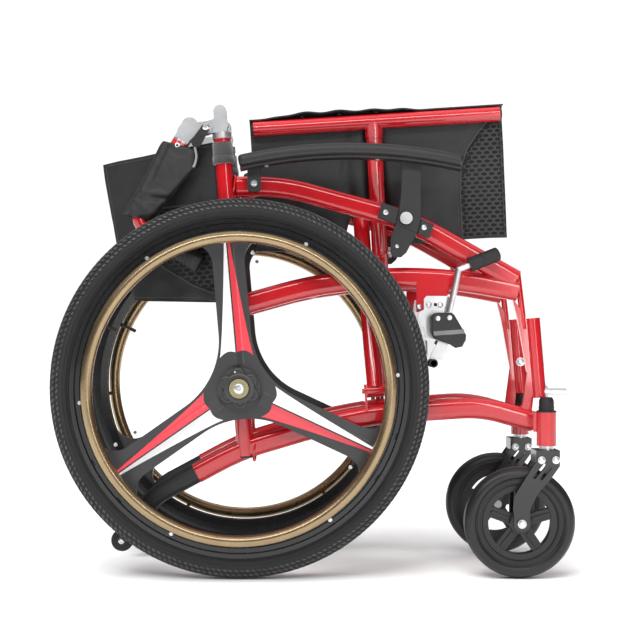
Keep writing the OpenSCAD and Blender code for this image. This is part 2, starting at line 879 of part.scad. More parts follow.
right_side() side_frame(-cross_gap);  // side_frame_right
left_side() side_frame(cross_gap);  // side_frame_left
right_side() front_fittings();  // front_fittings_right
left_side() front_fittings();  // front_fittings_left
right_side() anti_tip_tube();  // anti_tip_tube_right
left_side() anti_tip_tube();  // anti_tip_tube_left
right_side() anti_tip_wheel();  // anti_tip_wheel_right
left_side() anti_tip_wheel();  // anti_tip_wheel_left
right_side() rear_wheel();  // rear_wheel_right
left_side() rear_wheel();  // rear_wheel_left
right_side() rear_tyre();  // rear_tyre_right
left_side() rear_tyre();  // rear_tyre_left
right_side() handrim();  // handrim_right
left_side() handrim();  // handrim_left
right_side() rear_axle();  // rear_axle_right
left_side() rear_axle();  // rear_axle_left
right_side() axle_button();  // axle_button_right
left_side() axle_button();  // axle_button_left
right_side() caster_fork();  // caster_fork_right
left_side() caster_fork();  // caster_fork_left
right_side() caster_rim();  // caster_rim_right
left_side() caster_rim();  // caster_rim_left
right_side() caster_tyre();  // caster_tyre_right
left_side() caster_tyre();  // caster_tyre_left
right_side() arm_mount();  // arm_mount_right
left_side() arm_mount();  // arm_mount_left
right_side() arm_frame();  // arm_frame_right
left_side() arm_frame();  // arm_frame_left
right_side() arm_pad();  // arm_pad_right
left_side() arm_pad();  // arm_pad_left
right_side() arm_button();  // arm_button_right
left_side() arm_button();  // arm_button_left
right_side() brake_body();  // brake_body_right
left_side() brake_body();  // brake_body_left
right_side() brake_lever();  // brake_lever_right
left_side() brake_lever();  // brake_lever_left
right_side() brake_grip();  // brake_grip_right
left_side() brake_grip();  // brake_grip_left
right_side() brake_shoe();  // brake_shoe_right
left_side() brake_shoe();  // brake_shoe_left
right_side() hinge_lower();  // hinge_lower_right
left_side() hinge_lower();  // hinge_lower_left
right_side() hinge_upper();  // hinge_upper_right
left_side() hinge_upper();  // hinge_upper_left
right_side() upper_cane();  // upper_cane_right
left_side() upper_cane();  // upper_cane_left
right_side() push_grip();  // push_grip_right
left_side() push_grip();  // push_grip_left
right_side() release_lever();  // release_lever_right
left_side() release_lever();  // release_lever_left
right_side() back_lower();  // back_lower_right
left_side() back_lower();  // back_lower_left
right_side() back_upper();  // back_upper_right
left_side() back_upper();  // back_upper_left
right_side() seat_sling(cross_gap);  // seat_sling_right
left_side() seat_sling(-cross_gap);  // seat_sling_left
right_side() cross_member(1, cross_gap);  // cross_a
right_side() cross_member(-1, -cross_gap);  // cross_b
right_side() cross_bolt();
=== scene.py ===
import math

import bmesh
import bpy
import numpy as np
from mathutils import Matrix, Vector, noise


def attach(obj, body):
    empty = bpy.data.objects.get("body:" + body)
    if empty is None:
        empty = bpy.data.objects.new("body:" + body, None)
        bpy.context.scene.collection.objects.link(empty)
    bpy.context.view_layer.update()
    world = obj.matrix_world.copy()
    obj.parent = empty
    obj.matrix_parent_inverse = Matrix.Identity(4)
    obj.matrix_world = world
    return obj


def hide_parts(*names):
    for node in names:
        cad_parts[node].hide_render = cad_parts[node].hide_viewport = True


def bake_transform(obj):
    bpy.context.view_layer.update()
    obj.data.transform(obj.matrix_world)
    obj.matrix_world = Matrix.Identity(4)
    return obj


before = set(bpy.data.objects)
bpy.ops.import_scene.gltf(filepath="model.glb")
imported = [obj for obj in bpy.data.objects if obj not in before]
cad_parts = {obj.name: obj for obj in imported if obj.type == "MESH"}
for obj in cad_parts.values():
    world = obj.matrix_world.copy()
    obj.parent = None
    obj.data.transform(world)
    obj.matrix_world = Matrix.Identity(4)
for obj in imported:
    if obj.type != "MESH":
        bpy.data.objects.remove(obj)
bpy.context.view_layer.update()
scene = bpy.context.scene

# Sizes in millimetres. x is from the rear axle line, y is outboard and z is the height
AXLE_X = -117.5
WHEEL_R = 305
WHEEL_Y = 112
RIM_IN_R = 247
SPOKE_TURN = 95
FRAME_Y = 75
CANE_R = 14
CANE_LEAN = math.radians(4.3)
RAIL_Y = 35
RAIL_Z = 448
RAIL_R = 12.5
RAIL_REAR, RAIL_FRONT = -187.5, 226
FOLD_X, FOLD_Z = 235, 300
FOLD_LEAN = math.radians(3.6)
CASTER_AXLE = (451, 89)
CASTER_Y = 110
STEM_X = 495
HOUSING_TOP = 267
ANTI_TIP_AXLE = (-194, 54)
BACK_PIVOT = (-56, 730)
ROLLER = (311, 345)
FOLD_FOOT = (-76.6, 742.6)
FOLD_DIR = (-0.5225, -0.8526)
HANDLE_DIR = (0.8526, -0.5225)
BEND_AT = 195
SIDES = (("right", 1), ("left", -1))


# ---------- places ----------

def place(x, y, z, side=1):
    """A point on one side of the chair, in metres in the frame."""
    return Vector(((x + AXLE_X) / 1000, -side * y / 1000, z / 1000))


def cane_x(z):
    return -math.tan(CANE_LEAN) * (z - WHEEL_R)


def on_fold(d, w=0.0):
    """x and z of a point d along the folded upper cane and w towards its handle's side."""
    return tuple(FOLD_FOOT[i] + FOLD_DIR[i] * d + HANDLE_DIR[i] * w for i in (0, 1))


def in_fold(x, y, z, side=1):
    """A point in the leaning cross frame, in metres in the frame."""
    c, s = math.cos(FOLD_LEAN), math.sin(FOLD_LEAN)
    return place(FOLD_X + x * c - z * s, y, FOLD_Z + x * s + z * c, side)


def on_wheel(r, turn, out, side=1):
    """A point at radius r and an angle in degrees on a rear wheel, out from its middle plane."""
    a = math.radians(turn)
    return place(r * math.cos(a), WHEEL_Y + out, WHEEL_R + r * math.sin(a), side)


# ---------- materials ----------

def shader(name, colour, rough, metal=0.0, coat=0.0, sheen=0.0, grain=0.0, grain_size=0.5,
           mottle=0.12, mottle_size=40.0, wear=0.0, stretch=(1, 1, 1)):
    """A finish with its own fine relief of grain_size mm and a slow change in colour and gloss."""
    made = bpy.data.materials.new(name)
    made.use_nodes = True
    nodes, links = made.node_tree.nodes, made.node_tree.links
    surface = nodes["Principled BSDF"]
    surface.inputs["Metallic"].default_value = metal
    surface.inputs["Coat Weight"].default_value = coat
    surface.inputs["Coat Roughness"].default_value = 0.06
    surface.inputs["Sheen Weight"].default_value = sheen
    coords = nodes.new("ShaderNodeTexCoord")
    spread = nodes.new("ShaderNodeMapping")
    spread.inputs["Scale"].default_value = stretch
    links.new(coords.outputs["Object"], spread.inputs["Vector"])
    slow = nodes.new("ShaderNodeTexNoise")
    slow.inputs["Scale"].default_value = 1000 / mottle_size
    slow.inputs["Detail"].default_value = 4
    links.new(spread.outputs["Vector"], slow.inputs["Vector"])
    tint = nodes.new("ShaderNodeValToRGB")
    tint.color_ramp.elements[0].position = 0.3
    tint.color_ramp.elements[1].position = 0.7
    tint.color_ramp.elements[0].color = (*[c * (1 - mottle) for c in colour], 1)
    tint.color_ramp.elements[1].color = (*[min(1, c * (1 + mottle)) for c in colour], 1)
    links.new(slow.outputs["Fac"], tint.inputs["Fac"])
    links.new(tint.outputs["Color"], surface.inputs["Base Color"])
    gloss = nodes.new("ShaderNodeMapRange")
    gloss.inputs["To Min"].default_value = rough * 0.85
    gloss.inputs["To Max"].default_value = min(1, rough * 1.2 + wear)
    links.new(slow.outputs["Fac"], gloss.inputs["Value"])
    links.new(gloss.outputs["Result"], surface.inputs["Roughness"])
    if grain:
        fine = nodes.new("ShaderNodeTexNoise")
        fine.inputs["Scale"].default_value = 1000 / grain_size
        fine.inputs["Detail"].default_value = 3
        links.new(spread.outputs["Vector"], fine.inputs["Vector"])
        bump = nodes.new("ShaderNodeBump")
        bump.inputs["Strength"].default_value = grain
        bump.inputs["Distance"].default_value = grain_size / 2000
        links.new(fine.outputs["Fac"], bump.inputs["Height"])
        links.new(bump.outputs["Normal"], surface.inputs["Normal"])
    return made


def woven(name, colour, rough, pitch, relief, sheen=0.06, coat=0.0):
    """A plain weave: two crossing sets of threads, pitch mm apart."""
    made = shader(name, colour, rough, sheen=sheen, coat=coat, mottle=0.18, mottle_size=60)
    nodes, links = made.node_tree.nodes, made.node_tree.links
    coords = next(n for n in nodes if n.type == "TEX_COORD")
    height = None
    for axis in ("X", "Z"):
        thread = nodes.new("ShaderNodeTexWave")
        thread.wave_type = "BANDS"
        thread.bands_direction = axis
        thread.inputs["Scale"].default_value = 1000 / pitch / 20 * math.pi
        thread.inputs["Distortion"].default_value = 0.4
        links.new(coords.outputs["Object"], thread.inputs["Vector"])
        if height is None:
            height = thread.outputs["Fac"]
        else:
            both = nodes.new("ShaderNodeMath")
            both.operation = "MAXIMUM"
            links.new(height, both.inputs[0])
            links.new(thread.outputs["Fac"], both.inputs[1])
            height = both.outputs[0]
    bump = nodes.new("ShaderNodeBump")
    bump.inputs["Strength"].default_value = relief
    bump.inputs["Distance"].default_value = pitch / 4000
    links.new(height, bump.inputs["Height"])
    links.new(bump.outputs["Normal"], nodes["Principled BSDF"].inputs["Normal"])
    return made


RED = shader("red_paint", (0.50, 0.005, 0.011), 0.2, coat=1.0, grain=0.05, grain_size=3,
             mottle=0.05, mottle_size=200)
ZINC = shader("bright_zinc", (0.72, 0.72, 0.73), 0.3, metal=1.0, grain=0.12, grain_size=0.7, mottle=0.08)
CAST = shader("cast_silver", (0.50, 0.51, 0.52), 0.36, metal=0.85, grain=0.25, grain_size=0.6, mottle=0.1)
PLASTIC = shader("black_plastic", (0.010, 0.010, 0.011), 0.42, grain=0.25, grain_size=0.8)
FORK = shader("black_gloss", (0.006, 0.006, 0.007), 0.28, coat=0.4, grain=0.06, grain_size=2)
RUBBER = shader("black_rubber", (0.009, 0.009, 0.010), 0.55, grain=0.3, grain_size=0.7)
SPOKE = shader("spoke_grey", (0.036, 0.036, 0.038), 0.34, grain=0.12, grain_size=1.2, mottle=0.06)
RIM = shader("rim_black", (0.006, 0.006, 0.007), 0.26, coat=0.3, grain=0.05, grain_size=2)
TYRE = shader("tyre_rubber", (0.012, 0.012, 0.013), 0.62, grain=0.35, grain_size=0.9,
              mottle=0.25, mottle_size=25, wear=0.1)
TREAD = shader("tread_rubber", (0.055, 0.055, 0.056), 0.45, grain=0.4, grain_size=0.9,
               mottle=0.4, mottle_size=6, wear=0.1)
GOLD = shader("champagne_gold", (0.36, 0.265, 0.155), 0.26, metal=0.95, grain=0.05,
              grain_size=1.5, mottle=0.08)
BRASS = shader("hub_brass", (0.42, 0.38, 0.20), 0.32, metal=0.95, grain=0.08, grain_size=1)
BAND = shader("grey_band", (0.16, 0.16, 0.165), 0.4, grain=0.1)
CASTER = shader("caster_grey", (0.014, 0.014, 0.015), 0.4, grain=0.15, grain_size=1)
CASTER_RUBBER = shader("caster_rubber", (0.010, 0.010, 0.011), 0.36, grain=0.12, grain_size=1, mottle=0.2)
FOAM = shader("arm_foam", (0.014, 0.014, 0.015), 0.42, grain=0.3, grain_size=1.1, mottle=0.15)
CLOTH = woven("nylon_cloth", (0.010, 0.010, 0.011), 0.45, 0.9, 0.5)
MESH = woven("spacer_mesh", (0.034, 0.034, 0.036), 0.55, 1.2, 0.6)
UNDER = woven("mesh_ground", (0.006, 0.006, 0.007), 0.8, 1.2, 0.5, sheen=0.1)
PIPING = woven("piping", (0.050, 0.050, 0.052), 0.5, 0.8, 0.5)
VELCRO = woven("hook_and_loop", (0.045, 0.045, 0.047), 0.9, 1.4, 1.0, sheen=0.6)
WEBBING = woven("grey_webbing", (0.28, 0.28, 0.29), 0.6, 1.2, 0.8)
WHITE = shader("white_flash", (0.80, 0.80, 0.80), 0.3, coat=0.4, mottle=0.02)
CORAL = shader("red_flash", (0.70, 0.050, 0.070), 0.3, coat=0.4, mottle=0.03)
# Near-black painted shade, laid over slots and holes in place of the dark inside of each recess
SHADOW = shader("painted_slot_shade", (0.004, 0.004, 0.004), 0.8, grain=0.1)


# ---------- mesh building ----------

def piece(name, points, faces, material, body=None, crease=38):
    mesh = bpy.data.meshes.new(name)
    mesh.from_pydata([tuple(p) for p in points], [], faces)
    work = bmesh.new()
    work.from_mesh(mesh)
    bmesh.ops.remove_doubles(work, verts=work.verts, dist=1e-6)
    bmesh.ops.recalc_face_normals(work, faces=work.faces)
    work.to_mesh(mesh)
    work.free()
    mesh.polygons.foreach_set("use_smooth", [True] * len(mesh.polygons))
    mesh.set_sharp_from_angle(angle=math.radians(crease))
    mesh.materials.append(material)
    made = bpy.data.objects.new(name, mesh)
    scene.collection.objects.link(made)
    if body:
        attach(made, body)
    return made


def bevel(obj, width, segments=3, angle=30):
    """Rounds a piece's edges. The width is in millimetres."""
    rounding = obj.modifiers.new("rounding", "BEVEL")
    rounding.width = width / 1000
    rounding.segments = segments
    rounding.limit_method = "ANGLE"
    rounding.angle_limit = math.radians(angle)
    rounding.harden_normals = False
    return obj


class Shape:
    """Points and faces that are gathered into one piece."""

    def __init__(self):
        self.points, self.faces = [], []

    def add(self, points, faces):
        n = len(self.points)
        self.points += [Vector(p) for p in points]
        self.faces += [[n + i for i in f] for f in faces]

    def rings(self, rings, closed=False, caps=True):
        """Skin over rings of equal length."""
        k = len(rings[0])
        count = len(rings)
        faces = []
        for i in range(count if closed else count - 1):
            a, b = i * k, ((i + 1) % count) * k
            faces += [[a + j, a + (j + 1) % k, b + (j + 1) % k, b + j] for j in range(k)]
        if caps and not closed:
            faces += [list(range(k)), list(range((count - 1) * k, count * k))]
        self.add([p for ring in rings for p in ring], faces)

    def tube(self, line, radius, sides=10, closed=False, wide=1.0, up=Vector((0, 1, 0))):
        """A round or oval cord along a line. The radius is in millimetres, a number or one per point."""
        line = [Vector(p) for p in line]
        n = len(line)
        rings = []
        for i, p in enumerate(line):
            before = line[(i - 1) % n] if closed or i else p
            after = line[(i + 1) % n] if closed or i < n - 1 else p
            ahead = (after - before).normalized()
            across = ahead.cross(up)
            across = across.normalized() if across.length > 1e-6 else ahead.orthogonal().normalized()
            other = across.cross(ahead).normalized()
            r = (radius[i] if hasattr(radius, "__len__") else radius) / 1000
            rings.append([p + across * (r * wide * math.cos(a)) + other * (r * math.sin(a))
                          for a in (2 * math.pi * j / sides for j in range(sides))])
        self.rings(rings, closed)

    def turned(self, centre, axis, profile, sides=32):
        """A turned part: profile is [(radius, distance along the axis)] in millimetres."""
        axis = Vector(axis).normalized()
        u = axis.orthogonal().normalized()
        v = axis.cross(u)
        rings = []
        for r, along in profile:
            middle, reach = centre + axis * (along / 1000), max(r, 0.01) / 1000
            rings.append([middle + (u * math.cos(a) + v * math.sin(a)) * reach
                          for a in (2 * math.pi * j / sides for j in range(sides))])
        self.rings(rings)

    def plate(self, outline, near, far, side):
        """A flat plate across the chair: outline is [(x, z)], and it runs from y = near to y = far."""
        n = len(outline)
        points = [place(x, y, z, side) for y in (near, far) for x, z in outline]
        faces = [list(range(n)), list(range(n, 2 * n))]
        faces += [[i, (i + 1) % n, n + (i + 1) % n, n + i] for i in range(n)]
        self.add(points, faces)

    def sheet(self, surface, across, along, thick):
        """Cloth with a thickness in millimetres over surface(u, v), with u and v from 0 to 1."""
        def at(i, j):
            return surface(i / across, j / along)
        grid = [[at(i, j) for j in range(along + 1)] for i in range(across + 1)]
        sides = ([], [])
        for i in range(across + 1):
            for j in range(along + 1):
                du = grid[min(i + 1, across)][j] - grid[max(i - 1, 0)][j]
                dv = grid[i][min(j + 1, along)] - grid[i][max(j - 1, 0)]
                out = du.cross(dv).normalized() * (thick / 2000)
                sides[0].append(grid[i][j] + out)
                sides[1].append(grid[i][j] - out)
        k = along + 1
        n = (across + 1) * k
        faces = []
        for base in (0, n):
            corners = [base + i * k + j for i in range(across) for j in range(along)]
            faces += [[c, c + 1, c + k + 1, c + k] for c in corners]
        rim = [i * k for i in range(across + 1)]
        rim += [across * k + j for j in range(1, along + 1)]
        rim += [i * k + along for i in range(across - 1, -1, -1)]
        rim += [j for j in range(along - 1, 0, -1)]
        faces += [[a, b, n + b, n + a] for a, b in zip(rim, rim[1:] + rim[:1])]
        self.add(sides[0] + sides[1], faces)

    def made(self, name, material, body=None, slot=None, crease=38):
        return piece(name, self.points, self.faces, material, body, crease)


def smooth(points, steps):
    """A smooth line through points of any length."""
    pts = [np.array(p, float) for p in points]
    pts = [2 * pts[0] - pts[1]] + pts + [2 * pts[-1] - pts[-2]]
    line = []
    for a, b, c, d in zip(pts, pts[1:], pts[2:], pts[3:]):
        for i in range(steps):
            t = i / steps
            line.append(0.5 * (2 * b + (c - a) * t + (2 * a - 5 * b + 4 * c - d) * t * t
                               + (3 * b - a - 3 * c + d) * t ** 3))
    return line + [pts[-2]]


def full_turn(steps):
    """Evenly spaced angles round a whole turn."""
    return np.linspace(0, 2 * math.pi, steps, endpoint=False)


def signed_power(v, power):
    return math.copysign(abs(v) ** power, v)


def hoop(centre, r, y, steps, side):
    """Points on a circle about a cross axis of the chair."""
    return [place(centre[0] + r * math.cos(t), y, centre[1] + r * math.sin(t), side)
            for t in full_turn(steps)]


def rumple(x, z, size, seed):
    """Slow folds from -1 to 1 that are size millimetres across."""
    return noise.noise(Vector((x / size, seed * 7.3, z / size)))


def bolt(name, at, out, r, h, material, body, hexagon=False):
    """A domed screw head with a socket, or a hexagon head."""
    head = Shape()
    if hexagon:
        head.turned(at, out, [(r, 0), (r, h * 0.8), (r * 0.86, h)], 6)
    else:
        head.turned(at, out, [(r, 0), (r, h * 0.35), (r * 0.8, h * 0.8), (r * 0.52, h),
                              (r * 0.5, h * 0.45), (0, h * 0.4)])
    return head.made(name, material, body, "zinc")


# ---------- finishes of the CAD nodes ----------

def paint(node, material, *rules):
    """Gives a node its finish. A rule is (material, test of x, y, z) for the faces that differ."""
    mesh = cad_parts[node].data
    mesh.materials.clear()
    for m in (material, *(r[0] for r in rules)):
        mesh.materials.append(m)
    index = np.zeros(len(mesh.polygons), int)
    if rules:
        centres = np.array([p.center for p in mesh.polygons]) * 1000
        x, y, z = centres[:, 0] - AXLE_X, np.abs(centres[:, 1]), centres[:, 2]
        for i, (_, test) in enumerate(rules):
            index[test(x, y, z)] = i + 1
    mesh.polygons.foreach_set("material_index", index)


def finish_nodes():
    for name, _ in SIDES:
        for node in ("side_frame", "upper_cane"):
            paint(f"{node}_{name}", RED)
        paint(f"front_fittings_{name}", ZINC, (RUBBER, lambda x, y, z: (y > 94) & (z < 291) & (x < 508)))
        paint(f"anti_tip_tube_{name}", PLASTIC, (ZINC, lambda x, y, z: np.hypot(x + 194, z - 54) < 5))
        paint(f"anti_tip_wheel_{name}", RUBBER)
        paint(f"rear_wheel_{name}", SPOKE, (RIM, lambda x, y, z: np.hypot(x, z - WHEEL_R) > RIM_IN_R - 0.5))
        paint(f"rear_tyre_{name}", TYRE)
        paint(f"handrim_{name}", GOLD, (ZINC, lambda x, y, z: np.hypot(x, z - WHEEL_R) > 252))
        paint(f"rear_axle_{name}", BRASS)
        paint(f"axle_button_{name}", ZINC)
        paint(f"caster_fork_{name}", FORK, (ZINC, fork_steel))
        paint(f"caster_rim_{name}", CASTER)
        paint(f"caster_tyre_{name}", CASTER_RUBBER)
        paint(f"arm_mount_{name}", PLASTIC, (ZINC, mount_steel))
        paint(f"arm_frame_{name}", PLASTIC)
        paint(f"arm_button_{name}", ZINC)
        paint(f"brake_body_{name}", ZINC, (PLASTIC, lambda x, y, z: (y > 106.5) & (y < 112.65)))
        paint(f"brake_lever_{name}", ZINC)
        paint(f"brake_grip_{name}", RUBBER)
        paint(f"brake_shoe_{name}", ZINC, (RUBBER, on_roller))
        paint(f"hinge_lower_{name}", CAST)
        paint(f"hinge_upper_{name}", CAST)
        paint(f"push_grip_{name}", RUBBER)
        paint(f"release_lever_{name}", PLASTIC, (ZINC, lambda x, y, z: np.hypot(x + 56, z - 730) < 6.8))
    for node in ("cross_a", "cross_b"):
        paint(node, RED)
    paint("cross_bolt", ZINC)


def mount_steel(x, y, z):
    """The screws and the pivot pin on an arm mount."""
    return (y > 100.65) | ((y > 90.1) & (np.hypot(x - 22.8, z - 636) < 6))


def on_roller(x, y, z):
    """The bare rod that the lock's roller turns on."""
    return np.hypot(x - ROLLER[0], z - ROLLER[1]) < 5.2


def fork_steel(x, y, z):
    """The stem, its ring, the axle and the bolt heads on a caster fork."""
    out = np.abs(y - CASTER_Y)
    stem = (z > 206.1) | ((np.hypot(x - STEM_X, y - CASTER_Y) < 8.3) & (z > 187))
    axle = (np.hypot(x - CASTER_AXLE[0], z - CASTER_AXLE[1]) < 5.5) & (out < 17)
    return stem | (out > 22.05) | axle


# ---------- rear wheels ----------

def spoke_face(t):
    """Height of a spoke's outer face above the wheel's middle plane, t millimetres off its centre line."""
    t = abs(t)
    ridge = 11 - t * 5.5 / 9 if t < 9 else 5.5 - (t - 9) * 0.25
    return max(5.0, ridge)


def flashes(name, side):
    """The white and red flashes that taper along each spoke, one on each side of its ridge."""
    for part, material, sign in (("white", WHITE, 1), ("red", CORAL, -1)):
        shape = Shape()
        for k in range(3):
            turn = SPOKE_TURN + 120 * k
            rows, cols = 40, 8
            points = []
            for i in range(rows + 1):
                u = i / rows
                for j in range(cols + 1):
                    v = j / cols
                    wide = 1.2 + (26 - 22.5 * u ** 0.8) * v
                    r = 58 + 5 * math.sin(math.pi * v) - 7 * v + (180 + 2) * u
                    a = turn + math.degrees(math.atan2(sign * wide, r))
                    points.append(on_wheel(math.hypot(r, wide), a, spoke_face(wide) + 0.25, side))
            k2 = cols + 1
            shape.add(points, [[i * k2 + j, i * k2 + j + 1, (i + 1) * k2 + j + 1, (i + 1) * k2 + j]
                               for i in range(rows) for j in range(cols)])
        shape.made(f"flash_{part}_{name}", material, f"wheel_{name}", "wheel_grey", 80)


def tread(name, side):
    """Staggered blocks on the tyre's crown and shoulders, and two thin moulding ribs on its walls."""
    shape = Shape()
    middle, r0 = WHEEL_R - 17.5, 17.5
    half = ((9, 12, 1.2), (30, 13, 1.7), (53, 15, 2.2), (76, 13, 1.5))
    rows = [(-lean, wide, tall) for lean, wide, tall in half[::-1]] + list(half)
    count = 200
    for row, (lean, wide, tall) in enumerate(rows):
        for i in range(count):
            turn = 360 / count * (i + 0.5 * (row % 2))
            half_turn = 360 / count * 0.36
            corners = []
            for grow, shrink in ((-1.2, 1.0), (tall, 0.72)):
                for dt, dl in ((-1, -1), (1, -1), (1, 1), (-1, 1)):
                    a = math.radians(lean + dl * wide * 0.5 * shrink)
                    skew = 0.5 * dl * half_turn * (1 if row < 4 else -1)
                    r = middle + (r0 + grow) * math.cos(a)
                    at = turn + dt * half_turn * shrink + skew
                    corners.append(on_wheel(r, at, (r0 + grow) * math.sin(a), side))
            shape.add(corners, [[4, 5, 6, 7], [0, 1, 5, 4], [1, 2, 6, 5], [2, 3, 7, 6], [3, 0, 4, 7]])
    shape.made(f"tread_{name}", TREAD, f"wheel_{name}", "tyre", 20)
    ribs = Shape()
    for r, out, thick in ((283.5, 17.0, 0.7), (278.5, 15.0, 0.9), (274.5, 12.2, 1.0)):
        for face in (1, -1):
            ribs.tube([on_wheel(r, 3 * i, out * face, side) for i in range(120)], thick, 6, closed=True)
    ribs.made(f"tyre_ribs_{name}", RUBBER, f"wheel_{name}", "tyre")


def wheel_details(name, side):
    out = Vector((0, -side, 0))
    # The rim's slots are near-black capsules on the rim's face: painted shade where each slot's hollow
    # would be
    slot_shades, screws = Shape(), Shape()
    for k in range(3):
        turn = SPOKE_TURN + 120 * k
        for step in (-8, 8):
            slot_shades.tube([on_wheel(264, turn + step + d, 9.9, side) for d in (-1.2, -0.4, 0.4, 1.2)], 2.1, 10)
        screws.turned(on_wheel(219, turn - 10.5, 4.9, side), out,
                      [(3.2, 0), (3.2, 0.8), (2, 1.5), (0, 1.2)], 16)
    slot_shades.made(f"rim_slot_shades_{name}", SHADOW, f"wheel_{name}", "wheel_grey")
    screws.made(f"spoke_screws_{name}", ZINC, f"wheel_{name}", "zinc")
    boss = Shape()
    for k in range(6):
        turn = SPOKE_TURN + 60 * k
        centre = on_wheel(22.5, turn, 17.9, side)
        boss.turned(centre, out, [(10.4, 0), (10.2, 1.0), (9.2, 1.9), (7.4, 2.2), (6.6, 1.2), (0, 0.9)], 28)
    boss.made(f"hub_lobes_{name}", SPOKE, f"wheel_{name}", "wheel_grey")
    ring = Shape()
    ring.turned(on_wheel(0, 0, 19.9, side), out,
                [(24, 0), (24, 1.4), (22, 2.4), (17, 2.4), (15.6, 1.2), (15.6, 0)], 48)
    ring.made(f"hub_ring_{name}", SPOKE, f"wheel_{name}", "wheel_grey")
    rivet = on_wheel(27, 104, 19.4, side)
    bolt(f"hub_rivet_{name}", rivet, out, 2.2, 1.4, ZINC, f"wheel_{name}")
    nut = Shape()
    nut.turned(place(0, WHEEL_Y + 31, WHEEL_R, side), out,
               [(7.6, -0.2), (7.6, 0.6), (6.6, 1.2), (3, 1.2), (2.6, 0.4), (0, 0.3)], 24)
    nut.made(f"axle_button_cap_{name}", ZINC, f"axle_button_{name}", "zinc")
    valve = Shape()
    base = on_wheel(RIM_IN_R - 1, SPOKE_TURN + 60, 0, side)
    inward = (on_wheel(0, 0, 0, side) - base).normalized()
    valve.turned(base, inward, [(3.6, -3), (3.6, 3), (2.6, 4), (2.6, 18), (3.1, 18.5), (3.1, 27),
                                (1.6, 28.5), (0, 28.5)], 14)
    valve.made(f"valve_{name}", RUBBER, f"wheel_{name}", "tyre")


# ---------- upholstery ----------

PANEL_L = 222
PANEL_SWING = math.asin(FRAME_Y / (PANEL_L + 5))


def panel_depth(h):
    """How far the lower back cloth reaches behind the cane at height h above the axle."""
    return float(np.interp(h, [144, 246, 391, 405], [162, 188, 203, 204]))


def back_point(d, h, side, off=0.0):
    """A point on the lower back cloth, d behind the cane and h above the axle along it."""
    share = min(1.0, max(0.0, d / PANEL_L))
    seed = 1.0 if side > 0 else 2.0
    billow = 7 * math.sin(math.pi * share) * (0.55 + 0.45 * math.sin(math.pi * (h - 146) / 260))
    folds = 3.2 * rumple(d + 0.55 * h, h * 0.35, 46, seed) + 1.3 * rumple(d, h, 21, seed + 3)
    lift = (billow + folds * min(1, d / 25) * min(1, (230 - d) / 60)) + off
    along = 16.6 + d
    x = -along * math.cos(PANEL_SWING) - lift * math.sin(PANEL_SWING)
    y = FRAME_Y - along * math.sin(PANEL_SWING) + lift * math.cos(PANEL_SWING)
    c, s = math.cos(CANE_LEAN), math.sin(CANE_LEAN)
    return place(x * c - h * s, y, WHEEL_R + x * s + h * c, side)


def back_low(d):
    return 144 + 13 * d / 160


def back_top(d):
    return 405 - 13 * d / 203


def cloth_blend(obj, a, b, start, end, slot="cloth"):
    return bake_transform(obj)


def lower_back(name, side):
    start, end = back_point(6, 280, side), back_point(PANEL_L - 14, 280, side)
    bodies = (f"frame_{name}", f"back_lower_{name}")

    def surface(u, v):
        d = u * panel_depth(144 + 261 * v)
        return back_point(d, back_low(d) + (back_top(d) - back_low(d)) * v, side)

    cloth = Shape()
    cloth.sheet(surface, 64, 72, 2.2)
    cloth = cloth.made(f"back_cloth_{name}", CLOTH, crease=70)
    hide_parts(f"back_lower_{name}")
    cloth_blend(cloth, *bodies, start, end)

    # Mesh window, whose piping is an arc
    def inside(d, h):
        return 8 < d < window_edge(h) - 7 and 158 < h < WINDOW_TOP - 6

    window = lattice(lambda d, h, off: back_point(d, h, side, off), inside,
                     (5, 146), (155, WINDOW_TOP), 14, 10, 1.1)
    window = window.made(f"back_mesh_{name}", MESH)
    cloth_blend(window, *bodies, start, end)
    ground = Shape()
    def under(u, v):
        h = 157 + (WINDOW_TOP - 159) * v
        return back_point(5 + (window_edge(h) - 6) * u, h, side, 1.35)
    ground.sheet(under, 24, 30, 0.4)
    ground = ground.made(f"back_mesh_ground_{name}", UNDER, crease=80)
    cloth_blend(ground, *bodies, start, end)
    trim = Shape()
    edge = [(window_edge(h), h) for h in np.linspace(155.5, WINDOW_TOP, 60)]
    edge += [(d, WINDOW_TOP) for d in np.linspace(window_edge(WINDOW_TOP), 5, 30)[1:]]
    trim.tube([back_point(d, h, side, 1.8) for d, h in edge], 1.3, 8)
    hem = [(d, back_low(d) + 5) for d in np.linspace(4, 156, 40)]
    hem += [(panel_depth(h) - 5, h) for h in np.linspace(163, 385, 50)]
    hem += [(d, back_top(d) - 5) for d in np.linspace(196, 4, 40)]
    trim.tube([back_point(d, h, side, 1.35) for d, h in hem], 0.45, 5)
    trim = trim.made(f"back_trim_{name}", PIPING)
    cloth_blend(trim, *bodies, start, end)

    # The cloth's sleeve round the cane, closed by hook and loop tape
    wrap = Shape()
    for low, high, r in ((672, 706, 16.7), (671, 684, 17.9)):
        foot = place(cane_x(low), FRAME_Y, low, side)
        head = place(cane_x(high), FRAME_Y, high, side)
        long = (head - foot).length * 1000
        wrap.turned(foot, head - foot, [(14.1, 0), (r - 0.6, 0), (r, 0.8), (r + 0.15, long / 2),
                                        (r, long - 0.8), (r - 0.6, long), (14.1, long)], 40)
    wrap.made(f"cane_wrap_{name}", VELCRO, f"frame_{name}", "cloth")


WINDOW_TOP = 306


def window_edge(h):
    """How far the mesh window of the back cloth reaches behind the cane."""
    return float(np.interp(h, [155, 159, 173, 207, 245, 285, WINDOW_TOP], [6, 22, 52, 102, 132, 143, 141]))


